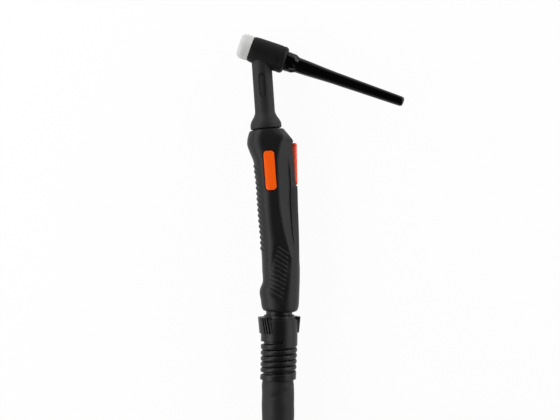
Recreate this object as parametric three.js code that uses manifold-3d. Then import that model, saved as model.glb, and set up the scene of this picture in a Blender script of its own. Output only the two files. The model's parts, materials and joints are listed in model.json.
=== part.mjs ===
// An air-cooled TIG welding torch with its cable, lying on its side on a bench.
//
// Units are millimetres and +Z is up. The bench is z = 0, the handle runs along Y with the head at
// +Y, and the torch's parting plane lies HALF_DEPTH above the bench. The origin is on the flat side
// that the handle rests on.

import * as THREE from "three";
import { mergeVertices } from "three/addons/utils/BufferGeometryUtils.js";
import Module from "manifold-3d";

const wasm = await Module();
wasm.setup();

// ---------------------------------------------------------------- driving dimensions

const GAP = 0.3; // clearance between pieces that touch
const HALF_DEPTH = 19; // from the parting plane to the handle's flat sides
const STEPS = 24; // sides of a turned piece

// Head: its axis starts at the front face of the heat shield and tilts down to the right.
const HEAD_FRONT = [-32.55, 165.25];
const HEAD_TILT = THREE.MathUtils.degToRad(-19.3);
const HEAD_LENGTH = 49;
const JACKET_RADIUS = 13.6;
const CORE_RADIUS = 8;
const COLLET_BORE = 4.9;
const CAP_THREAD = 5.6;
const CAP_LENGTH = 125; // the long back cap, from the head to its tip
const CAP_LOBES = 7;

// Neck: its axis starts inside the head and tilts slightly from straight down.
const NECK_START = [-9.75, 138];
const NECK_TILT = THREE.MathUtils.degToRad(-90 + 3.94);
const NECK_RADIUS = 10;
const NECK_COLLAR = 15.5;
const NECK_SPIGOT = 9.5;
const NECK_TUBE = 4.5;
const NECK_HEAD = -19.8; // where the neck's axis meets the head's axis

// Handle outline, as [y, x] points along its front and back edges.
const FRONT_EDGE = [
  [-101.5, -6.6], [-99, -9.4], [-95, -10.6], [-90, -11.2], [-86, -12], [-82, -12.4], [-79, -12],
  [-76, -10.9], [-73, -9.7], [-70, -9.2], [-60, -9.8], [-50, -10.1], [-40, -10.7], [-30, -11.1],
  [-20, -12], [-10, -13], [0, -13.8], [10, -14.6], [20, -15.2], [30, -16.2], [40, -17.5],
  [46, -18.1], [50, -19.1], [55, -21.2], [60, -23.2], [66, -24.9], [69, -24.8], [75, -23.6],
  [79, -22.1], [84, -19],
];
const BACK_EDGE = [
  [-101.5, 23.4], [-100, 25.4], [-98, 26.2], [-95, 26.8], [-90, 27.1], [-80, 27.5], [-70, 27.8],
  [-60, 27.9], [-50, 27.5], [-30, 27.1], [-10, 26.5], [0, 26.1], [10, 25.8], [23.6, 25.3],
  [24.4, 24.3], [46, 22.2], [67, 20.2], [68, 21.1], [70, 20.7], [72, 19.3], [84, 9.3],
];
// How far the rounding of the front edge reaches, and the half depth, along the handle.
const FRONT_ROUND = [[-101.5, 11], [-70, 11.5], [-15, 12], [15, 12], [40, 14], [84, 13]];
const BACK_ROUND = 19;
const FLAT_WIDTH = 5;
const DEPTH = [
  [-101.5, 15.2], [-99.5, 17.6], [-97, 18.6], [-93, 19], [64, 19], [70, 18.7], [75, 17.9],
  [79, 16.6], [84, 14.6],
];
// The rail that holds the trigger: it starts at a crease on the body, falls to a corner and has a
// narrower flat back. Its share is 0 where the handle is plainly round.
const CREASE = [
  [-101.5, 22], [-49, 20], [-41, 17.8], [-32, 15.5], [-23, 13.5], [-15, 11.6], [-6, 9.9],
  [3, 8.6], [11, 8], [20, 7.4], [28, 7], [40, 6.4], [49, 6.4], [58, 7.6], [66, 9.4], [74, 12.4],
  [84, 14],
];
const CREASE_FALL = 0.125;
const RAIL_CORNER = [
  [-101.5, 24], [-32, 21.9], [-23, 21], [-6, 19.7], [11, 18.7], [22, 19], [34, 18.4], [49, 17.2],
  [58, 16], [70, 15.5], [84, 14.6],
];
const RAIL_HEIGHT = [[-60, 15], [-35, 13], [-15, 11.4], [5, 10.9], [60, 10.9], [84, 12]];
const RAIL_HALF_WIDTH = 6.6;
const RAIL_SHARE = [[-58, 0], [-38, 0.9], [-15, 1], [66, 1], [78, 0.2], [84, 0]];
const HANDLE_STATIONS = [
  -101.5, -100, -98, -94, -88, -82, -77, -72, -60, -45, -30, -15, 0, 12, 23.5, 24.5, 36, 46, 52,
  57, 62, 66.8, 68, 72, 76, 80, 84,
];
const HANDLE_TOP = [[-21.9, 79], [11, 82]];
const CAVITY_STATIONS = [-78, -70, -45, -15, 0, 24, 46, 57, 67, 74];
const WALL = 3;

// Label plates on both sides of the handle.
const LABEL = { centre: [-1.8, 39], size: [10.8, 38.8], corner: 3.4, tilt: 4.1 };
const LABEL_DEPTHS = { face: 0.2, back: 1.2, pocket: 1.5 };

// Trigger, its pin and the switch behind it.
const TRIGGER_PIVOT = [17.5, 29];
const TRIGGER_HALF = 5.2;
const PIN_RADIUS = 1.25;
const SWITCH_Y = 50;
const SWITCH_BODY = { x: [6.1, 12.4], y: [44, 56.8], half: 2.9 };

// Screws that hold the two handle shells together, as [x, y].
const SCREWS = [[-16.5, 62], [13.4, 6], [18.2, -62]];
const POST_RADIUS = 3.4;

// Cable joint at the handle's lower end.
const BALL = [7.2, -92];
const BALL_RADIUS = 14.8;
const STUB_RADIUS = 13.2;
const NUT_TOP = -104.6;
const SUPPORT_END = -169;
const SUPPORT_DROOP = 1.2;
const HELIX_PITCH = 5.7;

// Cable: a sleeved bundle, its coil and what is on its far end.
const SLEEVE_RADIUS = 16;
const SLEEVE_X = 6.1;
const COIL_LIFT = 2.3; // the coil lies on its ties
const COIL_RADIUS = 200;
const COIL_SPACING = 33.2;
const COIL_LOWER_TURNS = 2.1;
const COIL_UPPER_TURNS = 0.7;
const COIL_CENTRE = [SLEEVE_X + COIL_RADIUS, -406];
const LOOP_STEPS = 24;
const LOOP_SIDES = 6;
const TIE_ANGLES = [72, 200, 270];
const TIE_WIDTH = 18;

// ---------------------------------------------------------------- helpers

const torch = new THREE.Group();

function material(color, roughness, metalness = 0) {
  return new THREE.MeshStandardMaterial({ color, roughness, metalness });
}

const finishes = {
  rubber: () => material(0x2b2b2c, 0.75),
  softBlack: () => material(0x1d1d1e, 0.6),
  glossBlack: () => material(0x0b0b0c, 0.25),
  handle: () => material(0x303031, 0.65),
  insulator: () => material(0xe4e2dc, 0.45),
  orange: () => material(0xff5a00, 0.4),
  trigger: () => material(0xf0492a, 0.45),
  brass: () => material(0xb98f4a, 0.35, 1),
  copper: () => material(0xb5714a, 0.35, 1),
  steel: () => material(0xb8babd, 0.3, 1),
  nylon: () => material(0xd9d7d0, 0.5),
  sleeve: () => material(0x333334, 0.85),
};

function add(group, name, geometry, finish) {
  const mesh = new THREE.Mesh(geometry, finishes[finish]());
  mesh.name = name;
  group.add(mesh);
  return mesh;
}

// Straight-line interpolation in a table of [position, value] rows.
function along(table, at) {
  const next = table.findIndex(([position]) => position >= at);
  if (next === -1) return table[table.length - 1][1];
  if (next === 0) return table[0][1];
  const [p0, v0] = table[next - 1];
  const [p1, v1] = table[next];
  return v0 + ((v1 - v0) * (at - p0)) / (p1 - p0);
}

// A closed mesh through rings of points; its ends are capped unless the rings form a loop.
function skin(rings, looped = false) {
  const count = rings[0].length;
  const points = rings.flat();
  const faces = [];
  const bands = looped ? rings.length : rings.length - 1;
  for (let i = 0; i < bands; i += 1) {
    const next = (i + 1) % rings.length;
    for (let k = 0; k < count; k += 1) {
      const a = i * count + k;
      const b = i * count + ((k + 1) % count);
      const c = next * count + k;
      const d = next * count + ((k + 1) % count);
      faces.push(a, b, c, b, d, c);
    }
  }
  if (!looped) {
    for (const [ring, first] of [[0, true], [rings.length - 1, false]]) {
      const middle = rings[ring].reduce((sum, p) => sum.add(p), new THREE.Vector3());
      points.push(middle.divideScalar(count));
      for (let k = 0; k < count; k += 1) {
        const a = ring * count + k;
        const b = ring * count + ((k + 1) % count);
        faces.push(points.length - 1, first ? b : a, first ? a : b);
      }
    }
  }
  const geometry = new THREE.BufferGeometry().setFromPoints(points);
  geometry.setIndex(faces);
  return volume(geometry) < 0 ? flipped(geometry) : geometry;
}

function volume(geometry) {
  const at = geometry.attributes.position;
  const index = geometry.index.array;
  const [a, b, c] = [new THREE.Vector3(), new THREE.Vector3(), new THREE.Vector3()];
  let total = 0;
  for (let i = 0; i < index.length; i += 3) {
    a.fromBufferAttribute(at, index[i]);
    b.fromBufferAttribute(at, index[i + 1]);
    c.fromBufferAttribute(at, index[i + 2]);
    total += a.dot(b.cross(c)) / 6;
  }
  return total;
}

function flipped(geometry) {
  const index = geometry.index.array;
  for (let i = 0; i < index.length; i += 3) {
    [index[i], index[i + 1]] = [index[i + 1], index[i]];
  }
  return geometry;
}

// A turned piece about local +Y from [along, radius] points.
function turnedUp(profile, steps = STEPS) {
  const points = profile.map(([y, r]) => new THREE.Vector2(r, y));
  const geometry = new THREE.LatheGeometry(points, steps);
  return volume(geometry) < 0 ? flipped(geometry) : geometry;
}

// The same about local +X.
function turned(profile, steps = STEPS) {
  return turnedUp(profile, steps).rotateZ(-Math.PI / 2);
}

function ringProfile(from, to, inner, outer) {
  return [[from, inner], [from, outer], [to, outer], [to, inner], [from, inner]];
}

function cylinder(radius, from, to, steps = STEPS) {
  return turned([[from, 0], [from, radius], [to, radius], [to, 0]], steps);
}

function box(x, y, z) {
  const geometry = new THREE.BoxGeometry(x[1] - x[0], y[1] - y[0], z[1] - z[0]);
  return geometry.translate((x[0] + x[1]) / 2, (y[0] + y[1]) / 2, (z[0] + z[1]) / 2);
}

// An outline in XY, pulled from z0 to z1.
function plate(outline, z0, z1) {
  const shape = new THREE.Shape(outline.map(([x, y]) => new THREE.Vector2(x, y)));
  const settings = { depth: z1 - z0, bevelEnabled: false };
  return new THREE.ExtrudeGeometry(shape, settings).translate(0, 0, z0);
}

function roundedOutline([width, height], corner, perCorner = 4) {
  const outline = [];
  for (let quarter = 0; quarter < 4; quarter += 1) {
    const sx = quarter === 0 || quarter === 3 ? 1 : -1;
    const sy = quarter < 2 ? 1 : -1;
    for (let k = 0; k <= perCorner; k += 1) {
      const angle = ((quarter + k / perCorner) * Math.PI) / 2;
      outline.push([
        sx * (width / 2 - corner) + corner * Math.cos(angle),
        sy * (height / 2 - corner) + corner * Math.sin(angle),
      ]);
    }
  }
  return outline;
}

// A round tube along a list of [x, y, z] points.
function tube(points, radius, steps, sides = 10) {
  const path = new THREE.CatmullRomCurve3(points.map((p) => new THREE.Vector3(...p)));
  const circle = new THREE.Shape();
  for (let k = 0; k < sides; k += 1) {
    const angle = (2 * Math.PI * k) / sides;
    const [x, y] = [radius * Math.cos(angle), radius * Math.sin(angle)];
    if (k === 0) circle.moveTo(x, y);
    else circle.lineTo(x, y);
  }
  const settings = { steps, extrudePath: path, bevelEnabled: false };
  return new THREE.ExtrudeGeometry(circle, settings);
}

// A geometry as a solid that can be joined and cut, and back.
function solid(geometry) {
  const bare = geometry.clone();
  bare.deleteAttribute("normal");
  bare.deleteAttribute("uv");
  const merged = mergeVertices(bare, 1e-4);
  const index = merged.index.array;
  const kept = [];
  for (let i = 0; i < index.length; i += 3) {
    const [a, b, c] = [index[i], index[i + 1], index[i + 2]];
    if (a !== b && b !== c && c !== a) kept.push(a, b, c);
  }
  const mesh = new wasm.Mesh({
    numProp: 3,
    vertProperties: new Float32Array(merged.attributes.position.array),
    triVerts: new Uint32Array(kept),
  });
  return new wasm.Manifold(mesh);
}

// Slivers that a cut leaves, thinner than this, are merged away.
const SLIVER = 0.01;

function geometryOf(made) {
  const mesh = made.simplify(SLIVER).getMesh();
  const geometry = new THREE.BufferGeometry();
  geometry.setAttribute("position", new THREE.BufferAttribute(mesh.vertProperties, 3));
  geometry.setIndex(new THREE.BufferAttribute(mesh.triVerts, 1));
  return geometry;
}

function cut(body, ...tools) {
  return geometryOf(tools.reduce((left, tool) => left.subtract(solid(tool)), solid(body)));
}

function joined(...bodies) {
  const [first, ...others] = bodies.map(solid);
  return geometryOf(others.reduce((sum, other) => sum.add(other), first));
}

function frameAt([x, y], angle) {
  return new THREE.Matrix4().makeRotationZ(angle).setPosition(x, y, 0);
}

const headFrame = frameAt(HEAD_FRONT, HEAD_TILT);
const neckFrame = frameAt(NECK_START, NECK_TILT);

function moved(geometry, from, to) {
  return geometry.clone().applyMatrix4(new THREE.Matrix4().copy(to).invert().multiply(from));
}

function framed(matrix) {
  const group = new THREE.Group();
  group.applyMatrix4(matrix);
  torch.add(group);
  return group;
}

const here = new THREE.Matrix4();

// ---------------------------------------------------------------- head

function heatShield() {
  return turned([
    [0, 7.4], [0, 9.8], [1, 10.8], [2.8, 11.9], [4.8, 12.7], [12.05, 12.7], [12.05, 7.4],
    [0, 7.4],
  ]);
}

function neckHole(radius, from, to) {
  return moved(cylinder(radius, from, to, 16), neckFrame, headFrame);
}

function headCore() {
  const barrel = turned([
    [0.8, COLLET_BORE], [0.8, 6.2], [1.6, 7], [12.4, 7], [12.4, CORE_RADIUS], [46, CORE_RADIUS],
    [46, 6], [36, 6], [36, 3.2], [28, 3.2], [28, COLLET_BORE], [0.8, COLLET_BORE],
  ]);
  const boss = neckHole(6, NECK_HEAD + 5, NECK_HEAD + 11.5);
  return cut(joined(barrel, boss), neckHole(3.2, NECK_HEAD, NECK_HEAD + 12));
}

function headJacket() {
  const shell = turned([
    [12.4, 8.3], [12.4, 11.6], [13.2, 12.5], [18, 13.2], [42, JACKET_RADIUS],
    [44.1, JACKET_RADIUS], [44.4, 13.2], [45.2, 13.2], [45.5, 13.5], [47.2, 13.1], [48.5, 12],
    [HEAD_LENGTH, 10.4], [HEAD_LENGTH, 7.6], [46.3, 7.6], [46.3, 8.3], [12.4, 8.3],
  ]);
  return cut(shell, neckHole(6.3, NECK_HEAD + 2, NECK_HEAD + 18));
}

// The back cap's radius along its length, before the lobes of its grip.
const CAP_PROFILE = [
  [HEAD_LENGTH + 0.4, 9.4], [50.4, 9.8], [54, 9.5], [57, 9.2], [59, 9.3], [61, 9.2], [62.5, 8.7],
  [64, 8.1], [66.5, 7.8], [76, 7.3], [90, 6.6], [106, 6.1], [136, 5.6], [170, 4.9], [172.4, 4.1],
  [HEAD_LENGTH + CAP_LENGTH - 0.2, 2.4],
];
const CAP_GRIP = [57.5, 66.5];

function lobeDepth(s) {
  if (s <= CAP_GRIP[0] || s >= CAP_GRIP[1]) return 0;
  return 0.9 * Math.sin((Math.PI * (s - CAP_GRIP[0])) / (CAP_GRIP[1] - CAP_GRIP[0]));
}

function aroundX(s, radiusAt, steps = STEPS) {
  return Array.from({ length: steps }, (_, k) => {
    const angle = (2 * Math.PI * k) / steps;
    const radius = radiusAt(angle);
    return new THREE.Vector3(s, radius * Math.cos(angle), radius * Math.sin(angle));
  });
}

function backCap() {
  const steps = CAP_LOBES * 4;
  const outside = CAP_PROFILE.map(([s, radius]) =>
    aroundX(s, (angle) => radius - lobeDepth(s) * (0.5 - 0.5 * Math.cos(CAP_LOBES * angle)), steps),
  );
  const spigot = turned([
    [38, 0], [38, CAP_THREAD - 0.6], [38.6, CAP_THREAD], [46.2, CAP_THREAD], [46.2, 4.8],
    [48.8, 4.8], [48.8, CAP_THREAD], [50, CAP_THREAD], [50, 0],
  ]);
  return cut(joined(skin(outside), spigot), cylinder(1.7, 37, HEAD_LENGTH + CAP_LENGTH - 9, 12));
}

function capRing() {
  return new THREE.TorusGeometry(6.15, 0.9, 6, 18).rotateY(Math.PI / 2).translate(47.5, 0, 0);
}

function buildHead() {
  const head = framed(headFrame);
  add(head, "heat_shield", heatShield(), "insulator");
  add(head, "head_core", headCore(), "brass");
  add(head, "head_jacket", headJacket(), "softBlack");
  add(head, "back_cap", backCap(), "glossBlack");
  add(head, "cap_o_ring", capRing(), "rubber");
}

// ---------------------------------------------------------------- neck

function neckSleeve() {
  const body = turned([
    [-14, NECK_TUBE + GAP], [-14, NECK_RADIUS], [40, NECK_RADIUS], [41.1, 10.2], [44.1, 11.4],
    [46.1, 12.6], [48.1, 13.8], [50.1, 14.8], [52.1, NECK_COLLAR], [55.6, NECK_COLLAR],
    [56.6, 14.8], [56.6, NECK_SPIGOT], [65, NECK_SPIGOT], [65, NECK_TUBE + GAP],
    [-14, NECK_TUBE + GAP],
  ]);
  const head = turned([
    [5, 0], [5, 12.6], [12.4, 12.9], [18, 13.5], [42, 13.9], [60, 13.9], [60, 0],
  ]);
  const outline = roundedOutline([24, 7.3], 3.6).map(([x, y]) => [x + 14.1, y - 0.7]);
  const recesses = [plate(outline, 9.1, 12), plate(outline, -12, -9.1)];
  return cut(body, moved(head, headFrame, neckFrame), ...recesses);
}

function neckTube() {
  return turned(ringProfile(NECK_HEAD + 11.8, 69.7, 3, NECK_TUBE), 16);
}

// A hexagonal fitting that joins the neck tube to the power cable.
function powerCoupling() {
  const hexagon = cylinder(6.9, 70, 86, 6);
  return cut(hexagon, cylinder(3, 69, 78, 12), cylinder(3.6, 78, 87, 12));
}

function buildNeck() {
  const neck = framed(neckFrame);
  add(neck, "neck_sleeve", neckSleeve(), "rubber");
  add(neck, "neck_tube", neckTube(), "copper");
  add(neck, "power_coupling", powerCoupling(), "brass");
}

// ---------------------------------------------------------------- handle

// Half of the handle's cross-section at y, from the front edge over the side to the back edge.
function halfSection(y) {
  const front = along(FRONT_EDGE, y);
  const back = along(BACK_EDGE, y);
  const depth = along(DEPTH, y);
  const share = along(RAIL_SHARE, y);
  const top = front + along(FRONT_ROUND, y);
  const backRound = Math.min(BACK_ROUND, back - top - 1);
  const corner = Math.min(along(RAIL_CORNER, y), back - 3.4);
  const crease = Math.min(along(CREASE, y), corner - 1.6);
  const flatEnd = Math.min(top + FLAT_WIDTH, crease - 1);
  const fall = CREASE_FALL * (crease - flatEnd);
  const cornerHeight = Math.min(along(RAIL_HEIGHT, y), depth - fall - 1);
  const rail = [
    [flatEnd, depth],
    [(flatEnd + crease) / 2, depth - fall / 4],
    [crease, depth - fall],
    [(crease + corner) / 2, (depth - fall + cornerHeight) / 2],
    [corner, cornerHeight],
    [back - 2.6, 9.6],
    [back - 0.9, 8],
    [back - 0.25, 7.2],
    [back, RAIL_HALF_WIDTH],
  ];
  const points = [0, 14, 30, 48, 68, 90].map((degrees) => {
    const angle = THREE.MathUtils.degToRad(degrees);
    return [top - (top - front) * Math.cos(angle), depth * Math.sin(angle)];
  });
  for (const [x, z] of rail) {
    const reach = THREE.MathUtils.clamp((x - back + backRound) / backRound, 0, 0.99);
    const plain = depth * Math.sqrt(1 - reach * reach);
    points.push([x, z * share + plain * (1 - share)]);
  }
  return [...points, [back, 0]];
}

// One half of the handle's outside, on the given side of the parting plane.
function handleHalf(side) {
  const rings = HANDLE_STATIONS.map((y) =>
    halfSection(y).map(([x, z]) => new THREE.Vector3(x, y, side * Math.max(z, GAP / 2))),
  );
  const [[x0, y0], [x1, y1]] = HANDLE_TOP;
  const slope = Math.atan2(y1 - y0, x1 - x0);
  const top = box([-60, 60], [0, 20], [-30, 30]).rotateZ(slope).translate(x0, y0, 0);
  return cut(skin(rings), top);
}

// The handle's solid inside a layer of the given thickness, from the first to the last station.
// The two small corners of the section's back edge are left out.
function handleInside(inset, stations) {
  const rings = stations.map((y) => {
    const half = halfSection(y).filter((_, k) => k !== 12 && k !== 13);
    const loop = [...half, ...half.slice(1, -1).reverse().map(([x, z]) => [x, -z])];
    return loop.map(([x, z], k) => {
      const [xa, za] = loop[(k + loop.length - 1) % loop.length];
      const [xb, zb] = loop[(k + 1) % loop.length];
      const span = Math.hypot(xb - xa, zb - za);
      return new THREE.Vector3(
        x + (inset * (zb - za)) / span, y, z - (inset * (xb - xa)) / span,
      );
    });
  });
  return skin(rings);
}

function post([x, y]) {
  return new THREE.CylinderGeometry(POST_RADIUS, POST_RADIUS, 60, 12)
    .rotateX(Math.PI / 2)
    .translate(x, y, 0);
}

function upright(radius, [x, y], z0, z1, steps = 12) {
  return new THREE.CylinderGeometry(radius, radius, z1 - z0, steps)
    .rotateX(Math.PI / 2)
    .translate(x, y, (z0 + z1) / 2);
}

// Cross walls that carry the coupling and the cable; they stop short of the switch carrier.
function handleRibs() {
  return [
    box([-40, 3.4], [56, 58.5], [-30, 30]),
    box([-40, 3.4], [33, 35.5], [-30, 30]),
    box([-40, 40], [-41.5, -39], [-30, 30]),
  ];
}

const INNER_CABLE = [
  [-3.75, 51.4, 0], [-3.4, 44, 0], [-2.9, 35, 0], [-1.9, 22, 0], [-0.2, 5, 0], [1.6, -15, 0],
  [4.4, -45, 0], [6.6, -66, 0], [7.2, -74, 0], [7.2, -80, 0],
];
const INNER_CABLE_RADIUS = 5.5;

// The label's outline, grown by extra, pulled from the handle's middle out on one side. What lies
// deeper than the given depth below the handle's surface is cut away.
function labelBlock(side, extra, depth) {
  const size = LABEL.size.map((length) => length + 2 * extra);
  const outline = roundedOutline(size, LABEL.corner + extra);
  const block = plate(outline, side > 0 ? 8 : -30, side > 0 ? 30 : -8)
    .rotateZ(THREE.MathUtils.degToRad(LABEL.tilt))
    .translate(...LABEL.centre, 0);
  return cut(block, handleInside(depth, HANDLE_STATIONS));
}

function handleShell(side) {
  const hollow = [...handleRibs(), ...SCREWS.map(post)].reduce(
    (space, kept) => space.subtract(solid(kept)),
    solid(handleInside(WALL, CAVITY_STATIONS)),
  );
  const ball = turnedUp([
    [-81, 0], [-81, 14.4], [-86.2, 14.4], [-86.2, 16.5], [-97.3, 16.5], [-97.3, 14.4],
    [-98.5, 14.6], [-104, 17], [-104, 0],
  ]).translate(BALL[0], 0, 0);
  const openings = [
    ball,
    turnedUp([[-77, 0], [-77, 9.5], [-82, 9.5], [-82, 0]], 16).translate(BALL[0], 0, 0),
    moved(cylinder(NECK_SPIGOT + GAP, 50, 67, 20), neckFrame, here),
    moved(cylinder(7.3, 66, 87, 16), neckFrame, here),
    tube(INNER_CABLE.slice(0, 8), INNER_CABLE_RADIUS + GAP, 24, 12),
    box([8.2, 12.2], [-43, -37], [5, 10]),
    box([13.6, 40], [24.6, 67.8], [-TRIGGER_HALF - 0.4, TRIGGER_HALF + 0.4]),
    labelBlock(side, 0.35, LABEL_DEPTHS.pocket),
  ];
  SCREWS.forEach(([x, y]) => {
    openings.push(upright(1.8, [x, y], -30, 9));
    openings.push(upright(3.1, [x, y], -30, -9.4));
  });
  const outside = solid(handleHalf(side)).subtract(hollow);
  return geometryOf(openings.reduce((left, tool) => left.subtract(solid(tool)), outside));
}

function labelPlate(side) {
  return cut(labelBlock(side, 0, LABEL_DEPTHS.back), labelBlock(side, 0.1, LABEL_DEPTHS.face));
}

function handleScrew([x, y]) {
  const head = upright(2.8, [x, y], -11.4, -9.7);
  const shank = upright(1.5, [x, y], -10, 7.5);
  return joined(head, shank);
}

function innerLead() {
  const route = [
    [9, 43.4, 0], [8.8, 36, 0], [8.2, 22, 0.6], [8, 6, 2.6], [8.6, -12, 5.6], [9.6, -28, 7.3],
    [10.2, -40, 7.5], [10.4, -58, 7.5], [10.2, -70, 7], [10, -75.5, 6.8],
  ];
  return tube(route, 1.5, 16, 8);
}

function buildHandle() {
  add(torch, "handle_shell_upper", handleShell(1), "handle");
  add(torch, "handle_shell_lower", handleShell(-1), "handle");
  add(torch, "label_plate_upper", labelPlate(1), "orange");
  add(torch, "label_plate_lower", labelPlate(-1), "orange");
  SCREWS.forEach((at, k) => add(torch, `handle_screw_${k + 1}`, handleScrew(at), "steel"));
  add(torch, "inner_power_cable", tube(INNER_CABLE, INNER_CABLE_RADIUS, 16, 10), "rubber");
  add(torch, "inner_control_lead", innerLead(), "rubber");
}

// ---------------------------------------------------------------- trigger and switch

function triggerLever() {
  const [px, py] = TRIGGER_PIVOT;
  const outline = [
    [17.6, 66.6], [22.4, 67], [23.9, 66.4], [24.8, 65], [25, 63], [25.8, 27], [25.5, 25.7],
    [24.4, 25.2], [20, 25.2], [px, py - 3], [px - 2.2, py - 2.2], [px - 3, py], [px - 2.4, py + 2],
    [17, 36], [17.8, 44], [17.2, SWITCH_Y - 1.8], [15.5, SWITCH_Y - 0.8], [15.5, SWITCH_Y + 0.8],
    [17.2, SWITCH_Y + 1.8], [17.4, 58],
  ];
  return cut(
    plate(outline, -TRIGGER_HALF, TRIGGER_HALF),
    upright(PIN_RADIUS + GAP, TRIGGER_PIVOT, -9, 9),
    box([13, px + 3.6], [py - 5, py + 5], [-2.5, 2.5]),
  );
}

function triggerPin() {
  return upright(PIN_RADIUS, TRIGGER_PIVOT, -6.9, 6.9);
}

// A torsion spring wound round the pin, with one leg up behind the lever.
function triggerSpring() {
  const [px, py] = TRIGGER_PIVOT;
  const [radius, wire, turns, stepsPerTurn] = [2.2, 0.35, 3, 8];
  const centres = [[px - 6, py - radius, -1.8]];
  for (let k = 0; k <= turns * stepsPerTurn; k += 1) {
    const angle = -Math.PI / 2 + (2 * Math.PI * k) / stepsPerTurn;
    const lift = -1.8 + (3.6 * k) / (turns * stepsPerTurn);
    centres.push([px + radius * Math.cos(angle), py + radius * Math.sin(angle), lift]);
  }
  centres.push([px + 3.2, py - radius, 1.9]);
  const rings = centres.map((centre, k) => {
    const at = new THREE.Vector3(...centre);
    const before = new THREE.Vector3(...centres[Math.max(0, k - 1)]);
    const after = new THREE.Vector3(...centres[Math.min(centres.length - 1, k + 1)]);
    const forward = after.sub(before).normalize();
    const across = new THREE.Vector3(0, 0, 1).cross(forward).normalize();
    const up = forward.clone().cross(across);
    return Array.from({ length: 5 }, (_, side) => {
      const angle = (2 * Math.PI * side) / 5;
      return at
        .clone()
        .addScaledVector(across, wire * Math.cos(angle))
        .addScaledVector(up, wire * Math.sin(angle));
    });
  });
  return skin(rings);
}

function switchCarrier() {
  const cheek = [[4, 26], [19.6, 26], [19.6, 32], [14.6, 38], [12.4, 60], [4, 60]];
  const base = box([4, 5.8], [26, 60], [-6, 6]);
  const cheeks = [plate(cheek, 5.7, 6.8), plate(cheek, -6.8, -5.7)];
  return cut(joined(base, ...cheeks), upright(PIN_RADIUS + GAP, TRIGGER_PIVOT, -9, 9));
}

function switchBody() {
  const { x, y, half } = SWITCH_BODY;
  const bore = cylinder(1.3, 9, 14, 10).translate(0, SWITCH_Y, 0);
  return cut(box(x, y, [-half, half]), bore);
}

function switchPlunger() {
  return turned([[10.7, 0], [10.7, 1], [14.9, 1], [15.2, 0.6], [15.2, 0]], 10)
    .translate(0, SWITCH_Y, 0);
}

function buildTrigger() {
  add(torch, "trigger", triggerLever(), "trigger");
  add(torch, "trigger_pin", triggerPin(), "steel");
  add(torch, "trigger_spring", triggerSpring(), "steel");
  add(torch, "switch_carrier", switchCarrier(), "nylon");
  add(torch, "switch_body", switchBody(), "softBlack");
  add(torch, "switch_plunger", switchPlunger(), "nylon");
}

// ---------------------------------------------------------------- cable joint and bend relief

function ballSeat() {
  const inner = [-5.5, -2.5, 0, 2.5, 5].map((h) => [
    BALL[1] - h, Math.sqrt((BALL_RADIUS + GAP) ** 2 - h * h),
  ]);
  return turnedUp([...inner, [-97, 16.2], [-86.5, 16.2], inner[0]]);
}

function ballJoint() {
  const profile = [[-84, 7]];
  for (const h of [-8, -6, -3.5, -1, 1.5, 4, 6.7]) {
    profile.push([BALL[1] - h, Math.sqrt(BALL_RADIUS ** 2 - h * h)]);
  }
  profile.push([-104.9, STUB_RADIUS], [-104.9, 12], [-118, 12], [-118, 7], [-84, 7]);
  return turnedUp(profile);
}

// The relief hangs slightly to one side below the nut.
function droop(y) {
  const share = Math.max(0, (-127 - y) / (-127 - SUPPORT_END));
  return -SUPPORT_DROOP * share ** 1.4;
}

function wingShare(angle) {
  const offsets = [-65, 115].map((centre) => {
    const away = Math.abs(THREE.MathUtils.radToDeg(angle) - centre);
    return Math.min(away % 360, 360 - (away % 360));
  });
  return THREE.MathUtils.clamp((34 - Math.min(...offsets)) / 5, 0, 1);
}

function helixRadius(y, angle) {
  const turn = (y + 134) / HELIX_PITCH - angle / (2 * Math.PI);
  const phase = Math.abs(turn - Math.round(turn));
  const taper = (-134 - y) * 0.012;
  return (phase < 0.2 ? 16.4 : 18 - 0.5 * ((phase - 0.35) / 0.15) ** 2) - taper;
}

function supportRadius(y, angle) {
  if (y > -122.7) {
    const wing = THREE.MathUtils.mapLinear(y, -122.6, -106.6, 1.5, 3);
    return 18.4 + wing * wingShare(angle);
  }
  if (y > -131.6) return 18.35;
  if (y > -163.4) return helixRadius(y, angle);
  return 17.45;
}

function cableSupport() {
  const steps = 24;
  const ringAt = (y, radiusAt) =>
    Array.from({ length: steps }, (_, k) => {
      const angle = (2 * Math.PI * k) / steps;
      const radius = radiusAt(angle);
      return new THREE.Vector3(
        BALL[0] + droop(y) + radius * Math.sin(angle), y, radius * Math.cos(angle),
      );
    });
  const levels = [-106.6, -114, -122.5, -122.8, -131.5];
  for (let y = -132; y > -163; y -= HELIX_PITCH / 6) levels.push(y);
  levels.push(-163.6, SUPPORT_END);
  const rings = [
    ringAt(NUT_TOP, () => 13.6),
    ringAt(-106, (angle) => supportRadius(-106.6, angle) - 0.6),
    ...levels.map((y) => ringAt(y, (angle) => supportRadius(y, angle))),
    ringAt(SUPPORT_END, () => 14.4),
    ringAt(-150, () => 14.4),
    ringAt(-131, () => 14.4),
    ringAt(-129, () => 12.4),
    ringAt(NUT_TOP - 1.1, () => 12.4),
    ringAt(NUT_TOP - 0.8, () => 13.6),
  ];
  return skin(rings, true);
}

function cableCore() {
  const route = [-86, -100, -127, -140, -150, -160, -168.6].map((y) => [
    BALL[0] + droop(y), y, 0,
  ]);
  return tube(route, INNER_CABLE_RADIUS, 8, 10);
}

function buildCableJoint() {
  add(torch, "ball_seat", ballSeat().translate(BALL[0], 0, 0), "nylon");
  add(torch, "ball_joint", ballJoint().translate(BALL[0], 0, 0), "softBlack");
  add(torch, "cable_support", cableSupport(), "rubber");
  add(torch, "cable_core", cableCore(), "rubber");
}

// ---------------------------------------------------------------- cable, coil and connectors

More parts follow.
